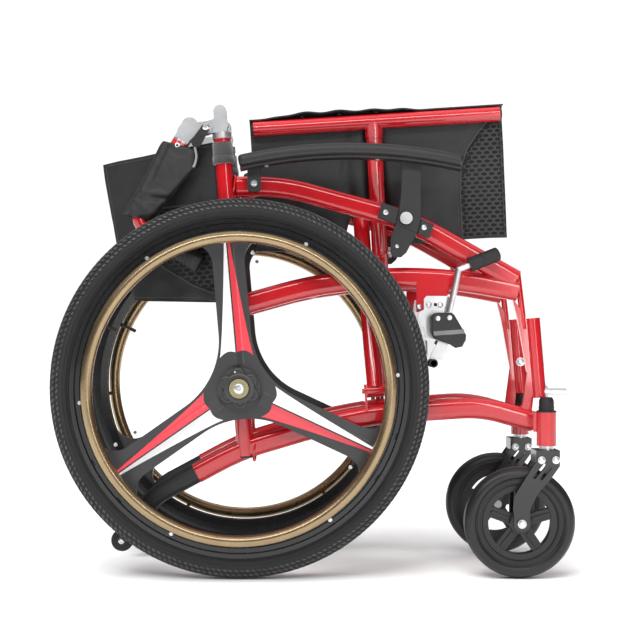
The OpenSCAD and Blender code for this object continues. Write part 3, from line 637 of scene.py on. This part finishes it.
def lattice(surface, inside, across, along, cell_w, cell_h, rib):
    """Honeycomb ribs of a spacer mesh over surface(a, b, off), for the cells whose centre is inside."""
    shape = Shape()
    rows = int((along[1] - along[0]) / (cell_h * 0.75)) + 1
    cols = int((across[1] - across[0]) / cell_w) + 1
    for j in range(rows):
        for i in range(cols):
            a = across[0] + (i + 0.5 * (j % 2)) * cell_w
            b = along[0] + j * cell_h * 0.75
            if not inside(a, b):
                continue
            outer = [(a + 0.5 * cell_w * x, b + 0.5 * cell_h * z) for x, z in
                     ((0, 1), (1, 0.5), (1, -0.5), (0, -1), (-1, -0.5), (-1, 0.5))]
            in_w, in_h = 1 - 2 * rib / cell_w * 1.25, 1 - 2 * rib / cell_h * 1.1
            inner = [(a + (x - a) * in_w, b + (z - b) * in_h) for x, z in outer]
            points = [surface(x, z, 2.5) for x, z in outer]
            points += [surface(x, z, 2.3) for x, z in inner]
            points += [surface(a + (x - a) * 0.92, b + (z - b) * 0.92, 1.3) for x, z in inner]
            faces = []
            for k in range(6):
                n = (k + 1) % 6
                faces += [[k, n, 6 + n, 6 + k], [6 + k, 6 + n, 12 + n, 12 + k]]
            shape.add(points, faces)
    return shape


def upper_back(name, side):
    """The upper back cloth: a gathered sleeve on the folded upper cane."""
    start, end = place(0, 90, 0, side), place(0, 63, 0, side)
    lengths = [0, 4, 12, 30, 55, 80, 105, 125, 138]
    left = [-25, -26, -26, -24, -22, -20.5, -19.5, -20, -19]
    right = [31, 34, 39, 43, 38, 35, 32, 29, 24]

    def surface(u, v):
        run = 138 * v
        lo, hi = np.interp(run, lengths, left), np.interp(run, lengths, right)
        a = 2 * math.pi * u
        mid, half = (lo + hi) / 2, (hi - lo) / 2
        pinch = min(1, 0.82 + run / 16, 0.6 + (138 - run) / 18)
        deep = 12.4 * pinch
        w = mid + half * signed_power(math.cos(a), 0.75)
        d = 48 + run - 0.30 * w
        y = 77.5 + deep * signed_power(math.sin(a), 0.6)
        crumple = 2.0 * rumple(w * 1.3 + d * 0.6, d * 0.4 - w * 0.4, 26, 4 + side)
        crumple += 1.3 * rumple(w, d, 11, 6 + side)
        creases = -3.4 * math.exp(-((d - 150 + 0.5 * w) / 5) ** 2)
        creases += 2.4 * math.exp(-((d - 140 + 0.5 * w) / 5.5) ** 2)
        creases += -2.6 * math.exp(-((w - 0.12 * d + 22) / 3.5) ** 2)
        creases += 2.0 * math.exp(-((d - 164 - 0.3 * w) / 5) ** 2)
        y += (crumple + creases) * math.sin(a) * pinch
        if abs(w) < CANE_R:
            clear = math.sqrt((CANE_R + 0.9) ** 2 - w * w)
            y = max(y, FRAME_Y + clear) if math.sin(a) > 0 else min(y, FRAME_Y - clear)
        x, z = on_fold(d, w)
        return place(x, min(y, 91.6), z, side)

    shape = Shape()
    around, along = 72, 64
    outer = [[surface(i / around, j / along) for i in range(around)] for j in range(along + 1)]
    middles = [sum(ring, Vector()) / around for ring in outer]
    inner = [[p + (m - p) * 0.16 for p in ring] for ring, m in zip(outer, middles)]
    shape.rings(outer + inner[::-1], closed=True)
    sleeve = shape.made(f"back_sleeve_{name}", CLOTH, crease=60)
    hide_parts(f"back_upper_{name}")
    cloth_blend(sleeve, f"back_fold_{name}", f"back_upper_{name}", start, end)


def sling_section(q, x, side):
    """y and z in the leaning frame of the sling's section, q millimetres from its edge on the rail."""
    lump = 6.5 * math.exp(-((x + 80) / 66) ** 4) + 4.4 * math.exp(-((x - 25) / 52) ** 4)
    lump += 1.5 * math.sin(x / 9.0) * math.exp(-((x + 40) / 120) ** 4) + 1.6
    r = RAIL_R + 1.3 + max(0.0, lump)
    lap = math.radians(110) * (RAIL_R + 1.3)
    if q < lap:
        a = math.radians(70) + q / (RAIL_R + 1.3)
        grow = r + (RAIL_R + 1.3 - r) * max(0, (q / lap - 0.5) * 2)
        return RAIL_Y + grow * math.cos(a), RAIL_Z + grow * math.sin(a)
    low = sling_low(x)
    down = min(1.0, (q - lap) / 205)
    z = RAIL_Z - (RAIL_Z - low) * down
    top = RAIL_Y - RAIL_R - 1.3
    y = 2.4 + (top - 2.4) * (1 - down) + 2.2 * math.sin(math.pi * down)
    room = RAIL_Y * (z - 230) / 218 - 15.4
    push = max(0.0, y - room)
    way = math.exp(-(abs(x - 14) / 15) ** 3) - math.exp(-(abs(x + 14) / 15) ** 3)
    return y - side * push * way * (1 if side > 0 else 1) , z


def sling_low(x):
    """Height of the sling's lower fold, which the crossing tubes lift."""
    lifted = 62 * math.exp(-(x / 42) ** 6)
    return 243 + lifted + 4 * math.exp(-((x + 187) / 30) ** 2) - 1.5 * math.sin(x / 37)


def sling_point(x, q, side, off=0.0):
    y0, z0 = sling_section(q, x, side)
    y1, z1 = sling_section(q + 1.5, x, side)
    long = math.hypot(y1 - y0, z1 - z0) or 1
    seed = 8 + side
    fade = min(1, max(0, (q - 30) / 50))
    slow, quick = rumple(x + 0.3 * q, q * 0.4, 55, seed), rumple(x + 0.5 * q, q * 0.3, 21, seed + 2)
    folds = fade * (3.0 * slow + 1.5 * quick)
    near_tube = math.exp(-(x / 34) ** 4)
    lift = off + folds * (1 - near_tube)
    ny, nz = (z0 - z1) / long, (y1 - y0) / long
    return in_fold(x, y0 + ny * lift, z0 + nz * lift, side)


def seat_sling(name, side):
    rail_body = "cross_a" if side > 0 else "cross_b"
    bodies = (rail_body, f"sling_{name}")
    start, end = in_fold(0, RAIL_Y - 14, RAIL_Z - 4, side), in_fold(0, RAIL_Y - 20, RAIL_Z - 44, side)
    rear, front = RAIL_REAR - 6, RAIL_FRONT + 6
    deep = 26.5 + 205
    cloth = Shape()
    cloth.sheet(lambda u, v: sling_point(rear + (front - rear) * u, deep * v, side), 150, 84, 2.0)
    cloth = cloth.made(f"seat_cloth_{name}", CLOTH, crease=70)
    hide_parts(f"seat_sling_{name}")
    cloth_blend(cloth, *bodies, start, end)

    def edge(q):
        """Where the mesh panel starts, at q down from the top."""
        return float(np.interp(q, [30, 50, 80, 110, 150, 232], [212, 192, 170, 159, 155, 156]))

    trim = Shape()
    line = [(edge(q), q) for q in np.linspace(30, deep - 2, 60)]
    trim.tube([sling_point(x, q, side, 1.6) for x, q in line], 1.3, 8)
    trim.tube([sling_point(x - 5, q, side, 1.2) for x, q in line], 0.4, 5)
    hem = [(front - 4, q) for q in np.linspace(30, deep - 6, 40)]
    trim.tube([sling_point(x, q, side, 1.3) for x, q in hem], 0.5, 5)
    trim.tube([sling_point(x, 29, side, 1.2) for x in np.linspace(rear + 3, front - 3, 120)], 0.45, 5)
    trim.tube([sling_point(x, deep - 4, side, 1.3) for x in np.linspace(60, front - 4, 60)], 0.5, 5)
    trim = trim.made(f"seat_trim_{name}", PIPING)
    cloth_blend(trim, *bodies, start, end)

    def within(x, q):
        return edge(q) + 6 < x < front - 6 and 34 < q < deep - 7

    web = lattice(lambda x, q, off: sling_point(x, q, side, off), within,
                  (150, front), (30, deep), 13.4, 9.6, 1.25)
    web = web.made(f"seat_mesh_{name}", MESH)
    cloth_blend(web, *bodies, start, end)
    ground = Shape()

    def below(u, v):
        q = 32 + (deep - 36) * v
        return sling_point(edge(q) + (front - 1 - edge(q)) * u, q, side, 1.25)
    ground.sheet(below, 14, 40, 0.3)
    ground = ground.made(f"seat_mesh_ground_{name}", UNDER, crease=80)
    cloth_blend(ground, *bodies, start, end)
    screws = Shape()
    for x in np.linspace(rear + 26, front - 24, 7):
        a = math.radians(96)
        at = in_fold(x, RAIL_Y + 15 * math.cos(a), RAIL_Z + 15.2 * math.sin(a), side)
        screws.turned(at, Vector((0, 0.1 * side, 1)),
                      [(4.6, -0.6), (4.6, 0.4), (3.6, 1.0), (2, 1.5), (1.6, 0.9), (0, 0.8)], 14)
    screws.made(f"seat_screws_{name}", PLASTIC, rail_body, "black_plastic")


PAD_X, PAD_Z, PAD_Y = 179, 689.5, 110
PAD_R = 829
PAD_SPAN = 25.2


def on_pad(r, a, y, side):
    """A point on the pad's arch, at radius r and angle a."""
    return place(PAD_X + r * math.cos(a), y, PAD_Z - PAD_R + r * math.sin(a), side)


def pad_angle(t):
    """Angle on the arch at a share t of the pad's length, from its front end."""
    return math.radians(90 + PAD_SPAN / 2 - PAD_SPAN * t)


def arm_pad(name, side):
    """Moulded arm pad: an arched rounded bar with round ends."""
    rings = []
    count = 72
    for i in range(count + 1):
        t = 0.5 - 0.5 * signed_power(math.cos(math.pi * i / count), 0.72)
        a = pad_angle(t)
        end = min(t, 1 - t) * math.radians(PAD_SPAN) * PAD_R
        round_off = max(0.0, 1 - (1 - min(1, end / 8)) ** 3) ** (1 / 3)
        half_w, half_t = 20.4 * max(0.05, round_off), 10.4 * max(0.05, round_off)
        ring = []
        for k in range(28):
            b = 2 * math.pi * k / 28
            w = signed_power(math.cos(b), 0.55) * half_w
            h = signed_power(math.sin(b), 0.62) * half_t
            if h > 0:
                h *= 1 - 0.10 * (w / 20) ** 2
            ring.append(on_pad(PAD_R + h, a, PAD_Y + w, side))
        rings.append(ring)
    shape = Shape()
    shape.rings(rings)
    pad = shape.made(f"arm_pad_foam_{name}", FOAM, f"arm_{name}", "arm_foam", 60)
    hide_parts(f"arm_pad_{name}")
    seam = Shape()
    line = [math.radians(90 + 12.2 - 24.4 * i / 60) for i in range(61)]
    for w in (20.35, -20.35):
        seam.tube([on_pad(PAD_R - 3, a, PAD_Y + w, side) for a in line], 0.5, 5)
    seam.made(f"arm_pad_seam_{name}", FOAM, f"arm_{name}", "arm_foam")
    for i, t in enumerate((0.12, 0.62)):
        a = pad_angle(t)
        at = on_pad(PAD_R - 14.4, a, PAD_Y - 1, side)
        down = Vector((-math.cos(a), 0, -math.sin(a)))
        bolt(f"arm_pad_screw_{i}_{name}", at, down, 4, 2, ZINC, f"arm_{name}")


# ---------- grips, locks and small parts ----------

def push_grip(name, side):
    """Ribs and a rounded end on the push grip."""
    ribs = Shape()
    axis = Vector((HANDLE_DIR[0], 0, HANDLE_DIR[1]))
    for i in range(11):
        x, z = on_fold(BEND_AT, 50 + 6.6 * i)
        ribs.turned(place(x, FRAME_Y, z, side), axis,
                    [(15.8, -1.9), (17.0, -1.2), (17.2, 0), (17.0, 1.2), (15.8, 1.9)], 36)
    x, z = on_fold(BEND_AT, 129)
    ribs.turned(place(x, FRAME_Y, z, side), axis,
                [(16, -1), (17.4, -0.6), (17.4, 2), (15.4, 3.6), (9, 4.6), (0, 4.8)], 36)
    x, z = on_fold(BEND_AT, 42)
    ribs.turned(place(x, FRAME_Y, z, side), axis,
                [(12, -0.8), (18, -0.6), (18.6, 1), (18, 3), (15.9, 3.6)], 36)
    ribs.made(f"push_grip_ribs_{name}", RUBBER, f"back_fold_{name}", "black_rubber")


def hinge_details(name, side):
    out = Vector((0, -side, 0))
    pin = place(BACK_PIVOT[0], FRAME_Y + 17.1, BACK_PIVOT[1], side)
    bolt(f"back_pin_head_{name}", pin, out, 6, 2.6, ZINC, f"frame_{name}")
    x, z = on_fold(50)
    bolt(f"cane_rivet_{name}", place(x, FRAME_Y + 13.6, z, side), out, 4.4, 1.8, WHITE, f"back_fold_{name}")
    trim = Shape()
    cap = place(cane_x(712), FRAME_Y, 712, side)
    axis = place(cane_x(730), FRAME_Y, 730, side) - cap
    trim.turned(cap, axis, [(14.6, -0.4), (15.4, 0.3), (15.4, 2.2), (14.9, 2.8)], 40)
    trim.made(f"hinge_collar_rim_{name}", CAST, f"frame_{name}", "cast_silver")
    # Pull strap of the release lever
    strap = Shape()
    line = smooth([(-74.5, 700), (-73, 691), (-71.5, 681), (-73.5, 671), (-76.5, 664)], 8)
    strap.tube([place(p[0], FRAME_Y + 15.5, p[1], side) for p in line], 1.0, 8, wide=1.9)
    strap.made(f"release_strap_{name}", WEBBING, f"release_{name}", "cloth")
    ribs = Shape()
    for i in range(4):
        x, z = -72.8 + 2.7 * i, 702.2 + 4.4 * i
        ends = [place(x + way * 5, FRAME_Y + 17.1, z - way * 3.1, side) for way in (-1, 1)]
        ribs.tube(ends, 0.9, 8)
    ribs.made(f"release_ribs_{name}", PLASTIC, f"release_{name}", "black_plastic")


LEVER_Y = 100.5
LOCK_PINS = ((319.3, 417.1), (338, 418.3))
GRIP_START, GRIP_END = (372, 503.7), (416, 521.2)


def wheel_lock(name, side):
    """Screws, cover, band, grip rings and roller of the wheel lock."""
    out = Vector((0, -side, 0))
    body = f"frame_{name}"
    for i, (x, z) in enumerate(((307.7, 439.2), (326.3, 439.2))):
        bolt(f"lock_screw_{i}_{name}", place(x, 94.1, z, side), out, 4.2, 1.4, ZINC, body)
    # The hole in the lock plate is a thin near-black plate on its face: painted shade for the hole
    hole_shade = Shape()
    hole_shade.plate([(315.8, 437.4), (320.6, 437.4), (320.6, 442.4), (315.8, 442.4)], 91.5, 92.5, side)
    hole_shade.made(f"lock_plate_hole_shade_{name}", SHADOW, body, "black_plastic")
    bolt(f"lock_bracket_bolt_{name}", place(292.1, 86, 436.2, side), out, 4.8, 2.4, ZINC, body)
    slab = Shape()
    slab.plate([(309.4, 394), (313.8, 385), (339.2, 375.7), (348.5, 370), (358.6, 372.2), (364.2, 382.4),
                (364.7, 390.3), (345.8, 422.6), (341.2, 426), (318.3, 426), (312.6, 423.7), (309.4, 419.2)],
               110.5, 114.2, side)
    bevel(slab.made(f"lock_cover_{name}", PLASTIC, body, "black_plastic"), 1.8)
    band = Shape()
    band.plate([(312.5, 389.2), (362, 392.6), (361.5, 399.6), (312.5, 396.2)], 113.6, 114.9, side)
    bevel(band.made(f"lock_band_{name}", BAND, body, "black_plastic"), 0.4)
    for i, (x, z) in enumerate(LOCK_PINS):
        head = Shape()
        head.turned(place(x, 114.1, z, side), out,
                    [(4.4, 0), (4.4, 1.0), (3.6, 1.9), (1.5, 2.1), (0, 2.1)], 20)
        head.made(f"lock_rivet_{i}_{name}", ZINC, body, "zinc")
    grooves = Shape()
    long, rise = GRIP_END[0] - GRIP_START[0], GRIP_END[1] - GRIP_START[1]
    axis = Vector((long, 0, rise)).normalized()
    for t in (0.08, 0.5):
        grooves.turned(place(GRIP_START[0] + long * t, LEVER_Y, GRIP_START[1] + rise * t, side), axis,
                       [(11.3, -2.5), (12.0, -1.5), (12.0, 1.5), (11.3, 2.5)], 30)
    grooves.turned(place(GRIP_END[0], LEVER_Y, GRIP_END[1], side), axis,
                   [(11.4, -0.4), (11.6, 0.4), (10.4, 3.2), (7, 4.8), (0, 5.4)], 30)
    grooves.made(f"lock_grip_ribs_{name}", RUBBER, f"lock_lever_{name}", "black_rubber")
    roller = Shape()
    for y in (WHEEL_Y - 15, WHEEL_Y + 15):
        roller.turned(place(ROLLER[0], y, ROLLER[1], side), out, [(5, -1), (7, -0.6), (7, 0.6), (5, 1)], 24)
    ridges = [(6.2 + 0.5 * (i % 2), -12 + 2 * i) for i in range(13)]
    roller.turned(place(ROLLER[0], WHEEL_Y, ROLLER[1], side), out, [(5.6, -13)] + ridges + [(5.6, 13)], 24)
    roller.made(f"lock_roller_{name}", RUBBER, f"lock_shoe_{name}", "black_rubber")


def caster_details(name, side):
    out = Vector((0, -side, 0))
    fork = f"caster_swivel_{name}"
    for k, y in enumerate((CASTER_Y + 26, CASTER_Y - 26)):
        way = out if k == 0 else -out
        nut = place(CASTER_AXLE[0], y, CASTER_AXLE[1], side)
        bolt(f"caster_axle_nut_{k}_{name}", nut, way, 5.6, 3.4, ZINC, fork, True)
        for i, x in enumerate((STEM_X - 13, STEM_X + 10)):
            bolt(f"fork_bolt_{k}_{i}_{name}", place(x, y, 191, side), way, 5.2, 2.2, ZINC, fork)
    ribs = Shape()
    for face in (1, -1):
        for r, width in ((64, 11.2), (70.5, 15.0), (84, 11)):
            ribs.tube(hoop(CASTER_AXLE, r, CASTER_Y + face * width, 96, side), 0.7, 6, closed=True)
    ribs.made(f"caster_ribs_{name}", CASTER, f"caster_wheel_{name}", "caster_grey")
    tread_lines = Shape()
    for y in (-6, -2, 2, 6):
        tread_lines.tube(hoop(CASTER_AXLE, 88.7, CASTER_Y + y, 96, side), 0.5, 5, closed=True)
    tread_lines.made(f"caster_tread_{name}", CASTER_RUBBER, f"caster_wheel_{name}", "tyre")
    hub = Shape()
    for face in (1, -1):
        hub.turned(place(CASTER_AXLE[0], CASTER_Y + face * 16, CASTER_AXLE[1], side), out * face,
                   [(17, -1), (17, 0.2), (15, 0.8), (11, 0.8), (10, -0.2), (5.2, -0.2)], 36)
    hub.made(f"caster_hub_{name}", CASTER, f"caster_wheel_{name}", "caster_grey")
    ring = Shape()
    ring.turned(place(STEM_X, CASTER_Y, HOUSING_TOP, side), (0, 0, 1),
                [(16, -1), (16.4, 0), (15, 1.4), (12.4, 2.2), (12.4, 6), (12.9, 7), (12.4, 8)], 40)
    ring.made(f"housing_cap_rim_{name}", RUBBER, f"frame_{name}", "black_rubber")


def frame_details(name, side):
    """Weld fillets, tube-end plugs and bolts on a side frame, with one bolt on the axle receiver."""
    out = Vector((0, -side, 0))
    body = f"frame_{name}"
    welds = Shape()
    for z in (634, 436, 202):
        ring = [place(cane_x(z) + 15 + 1.5 * math.sin(2 * t), FRAME_Y + 12 * math.sin(t),
                      z + 18 * math.cos(t), side) for t in full_turn(40)]
        welds.tube(ring, [1.7 + 0.25 * math.sin(9 * i) for i in range(40)], 8, closed=True)
    welds.made(f"frame_welds_{name}", RED, body, "frame_red")
    bolt(f"receiver_bolt_{name}", place(-14, 90, WHEEL_R + 62, side), out, 5, 3, ZINC, body)
    bolt(f"post_bolt_{name}", place(486.5, FRAME_Y - 15.4, 343, side), -out, 6, 2.6, ZINC, body)
    plug = Shape()
    foot, below = (place(cane_x(z), FRAME_Y, z, side) for z in (192, 170))
    plug.turned(foot, below - foot, [(13.9, -1), (14.2, 0), (13.4, 2.2), (9, 3.2), (0, 3.4)], 32)
    rail_plugs = Shape()
    for x, way in ((RAIL_REAR, -1), (RAIL_FRONT, 1)):
        rail_plugs.turned(in_fold(x, RAIL_Y, RAIL_Z, side), in_fold(10 * way, 0, 0) - in_fold(0, 0, 0),
                          [(12.2, -1), (12.6, 0), (12, 2), (9, 3), (0, 3.2)], 32)
    plug.made(f"frame_plug_{name}", PLASTIC, body, "black_plastic")
    rail_plugs.made(f"rail_plugs_{name}", PLASTIC, "cross_a" if side > 0 else "cross_b", "black_plastic")
    for i, (x, z) in enumerate(((236.3, 589.5), (298.5, 565))):
        bolt(f"arm_mount_screw_{i}_{name}", place(x, 102.5, z, side), out, 4.6, 1.8, ZINC, body)
    arm_bar(name, side)
    bolt(f"arm_pivot_screw_{name}", place(22.8, 103.5, 636, side), out, 4.6, 2, ZINC, body)


def arm_bar(name, side):
    """Raised faces on the armrest's mount: two on its end blocks and one on the post between them."""
    foot, head = np.array([224.4, 582.0]), np.array([231.2, 605.4])
    run = np.array([81.0, -34.4])
    pivot = np.array([22.8, 636.0])

    def reach(start, r):
        """How far along the mount's edge the arc of radius r about the pivot crosses it."""
        steps = np.linspace(0, 1.03, 600)
        gaps = [abs(np.hypot(*(start + run * t - pivot)) - r) for t in steps]
        return float(steps[int(np.argmin(gaps))])

    # Each span starts and ends at a share of the edge, or at a radius about the pivot
    spans = (("rear", 0.012, 237.8, "frame"), ("middle", 240.0, 276.2, "arm"),
             ("front", 278.4, 1.02, "frame"))
    for part, start, end, body in spans:
        outline = []
        for edge, way in ((foot, 1), (head, -1)):
            a = start if start < 2 else reach(edge, start)
            b = end if end < 2 else reach(edge, end)
            ends = (a, b) if way > 0 else (b, a)
            outline += [tuple(edge + run * t) for t in ends]
        cap = Shape()
        cap.plate(outline, 100.4, 101.9, side)
        bevel(cap.made(f"arm_bar_{part}_{name}", PLASTIC, f"{body}_{name}", "black_plastic"), 0.5)
    at, out = place(254.7, 100.5, 534.4, side), Vector((0, -side, 0))
    bolt(f"arm_post_screw_{name}", at, out, 3.2, 1.4, ZINC, f"arm_{name}")


def anti_tip_details(name, side):
    out = Vector((0, -side, 0))
    for k, way in enumerate((1, -1)):
        at = place(ANTI_TIP_AXLE[0], FRAME_Y + 13 * way, ANTI_TIP_AXLE[1], side)
        bolt(f"anti_tip_bolt_{k}_{name}", at, out * way, 5, 2.4, ZINC, f"frame_{name}")
    groove = Shape()
    for y in (-5, 0, 5):
        groove.tube(hoop(ANTI_TIP_AXLE, 17.4, FRAME_Y + y, 40, side), 0.7, 6, closed=True)
    groove.made(f"anti_tip_tread_{name}", RUBBER, f"anti_tip_{name}", "black_rubber")


# ---------- studio ----------

def studio():
    floor_mesh = bpy.data.meshes.new("floor")
    low = -0.0016
    corners = [(x * 12, y * 12, low) for x, y in ((-1, -1), (1, -1), (1, 1), (-1, 1))]
    floor_mesh.from_pydata(corners, [], [(0, 1, 2, 3)])
    floor = bpy.data.objects.new("floor", floor_mesh)
    scene.collection.objects.link(floor)
    floor_mesh.materials.append(shader("pale_floor", (0.86, 0.86, 0.86), 0.8, mottle=0.01, mottle_size=900))

    world = bpy.data.worlds.new("studio")
    scene.world = world
    world.use_nodes = True
    nodes, links = world.node_tree.nodes, world.node_tree.links
    room = nodes["Background"]
    coords = nodes.new("ShaderNodeTexCoord")
    split = nodes.new("ShaderNodeSeparateXYZ")
    height = nodes.new("ShaderNodeMapRange")
    height.inputs["From Min"].default_value = -1
    ramp = nodes.new("ShaderNodeValToRGB")
    links.new(coords.outputs["Generated"], split.inputs["Vector"])
    links.new(split.outputs["Z"], height.inputs["Value"])
    links.new(height.outputs["Result"], ramp.inputs["Fac"])
    for at, bright in ((0.0, 0.06), (0.46, 0.04), (0.62, 0.08), (0.8, 0.34), (1.0, 0.7)):
        stop = ramp.color_ramp.elements.new(at)
        stop.color = (bright, bright, bright, 1)
    for stop in (ramp.color_ramp.elements[0], ramp.color_ramp.elements[-1]):
        stop.color = (0.06, 0.06, 0.06, 1) if stop.position < 0.5 else (0.7, 0.7, 0.7, 1)
    links.new(ramp.outputs["Color"], room.inputs["Color"])
    backdrop = nodes.new("ShaderNodeBackground")
    backdrop.inputs["Strength"].default_value = 1.05
    backdrop.inputs["Color"].default_value = (1, 1, 1, 1)
    seen = nodes.new("ShaderNodeLightPath")
    choice = nodes.new("ShaderNodeMixShader")
    links.new(seen.outputs["Is Camera Ray"], choice.inputs["Fac"])
    links.new(room.outputs["Background"], choice.inputs[1])
    links.new(backdrop.outputs["Background"], choice.inputs[2])
    links.new(choice.outputs["Shader"], nodes["World Output"].inputs["Surface"])

    def lamp(name, at, aim, size, power):
        light = bpy.data.lights.new(name, "AREA")
        light.shape = "RECTANGLE"
        light.size, light.size_y = size
        light.energy = power
        made = bpy.data.objects.new(name, light)
        made.location = at
        made.rotation_euler = (Vector(aim) - Vector(at)).to_track_quat("-Z", "Y").to_euler()
        scene.collection.objects.link(made)

    def sun(name, way, spread, power):
        light = bpy.data.lights.new(name, "SUN")
        light.angle = math.radians(spread)
        light.energy = power
        made = bpy.data.objects.new(name, light)
        made.rotation_euler = Vector(way).to_track_quat("-Z", "Y").to_euler()
        made.visible_glossy = False
        scene.collection.objects.link(made)

    sun("key", (0.22, 0.34, -0.92), 40, 3.1)
    sun("back", (-0.25, -0.75, -0.75), 60, 0.8)
    lamp("strip", (-0.4, -2.2, 1.9), (0, 0, 0.4), (2.6, 0.28), 26)
    lamp("low_strip", (0.9, -2.4, 0.9), (0, 0, 0.4), (0.22, 1.4), 9)
    scene.view_settings.view_transform = "Standard"

    camera = bpy.data.cameras.new("camera")
    camera.lens = 68.1
    camera.sensor_width = 36
    camera.shift_x, camera.shift_y = 0.0283, 0.0396
    made = bpy.data.objects.new("camera", camera)
    made.location = place(84.4, 2000, 392)
    made.rotation_euler = (math.pi / 2, 0, 0)
    scene.collection.objects.link(made)
    scene.camera = made


finish_nodes()
for name, side in SIDES:
    flashes(name, side)
    tread(name, side)
    wheel_details(name, side)
    lower_back(name, side)
    upper_back(name, side)
    seat_sling(name, side)
    arm_pad(name, side)
    push_grip(name, side)
    hinge_details(name, side)
    wheel_lock(name, side)
    caster_details(name, side)
    frame_details(name, side)
    anti_tip_details(name, side)
studio()
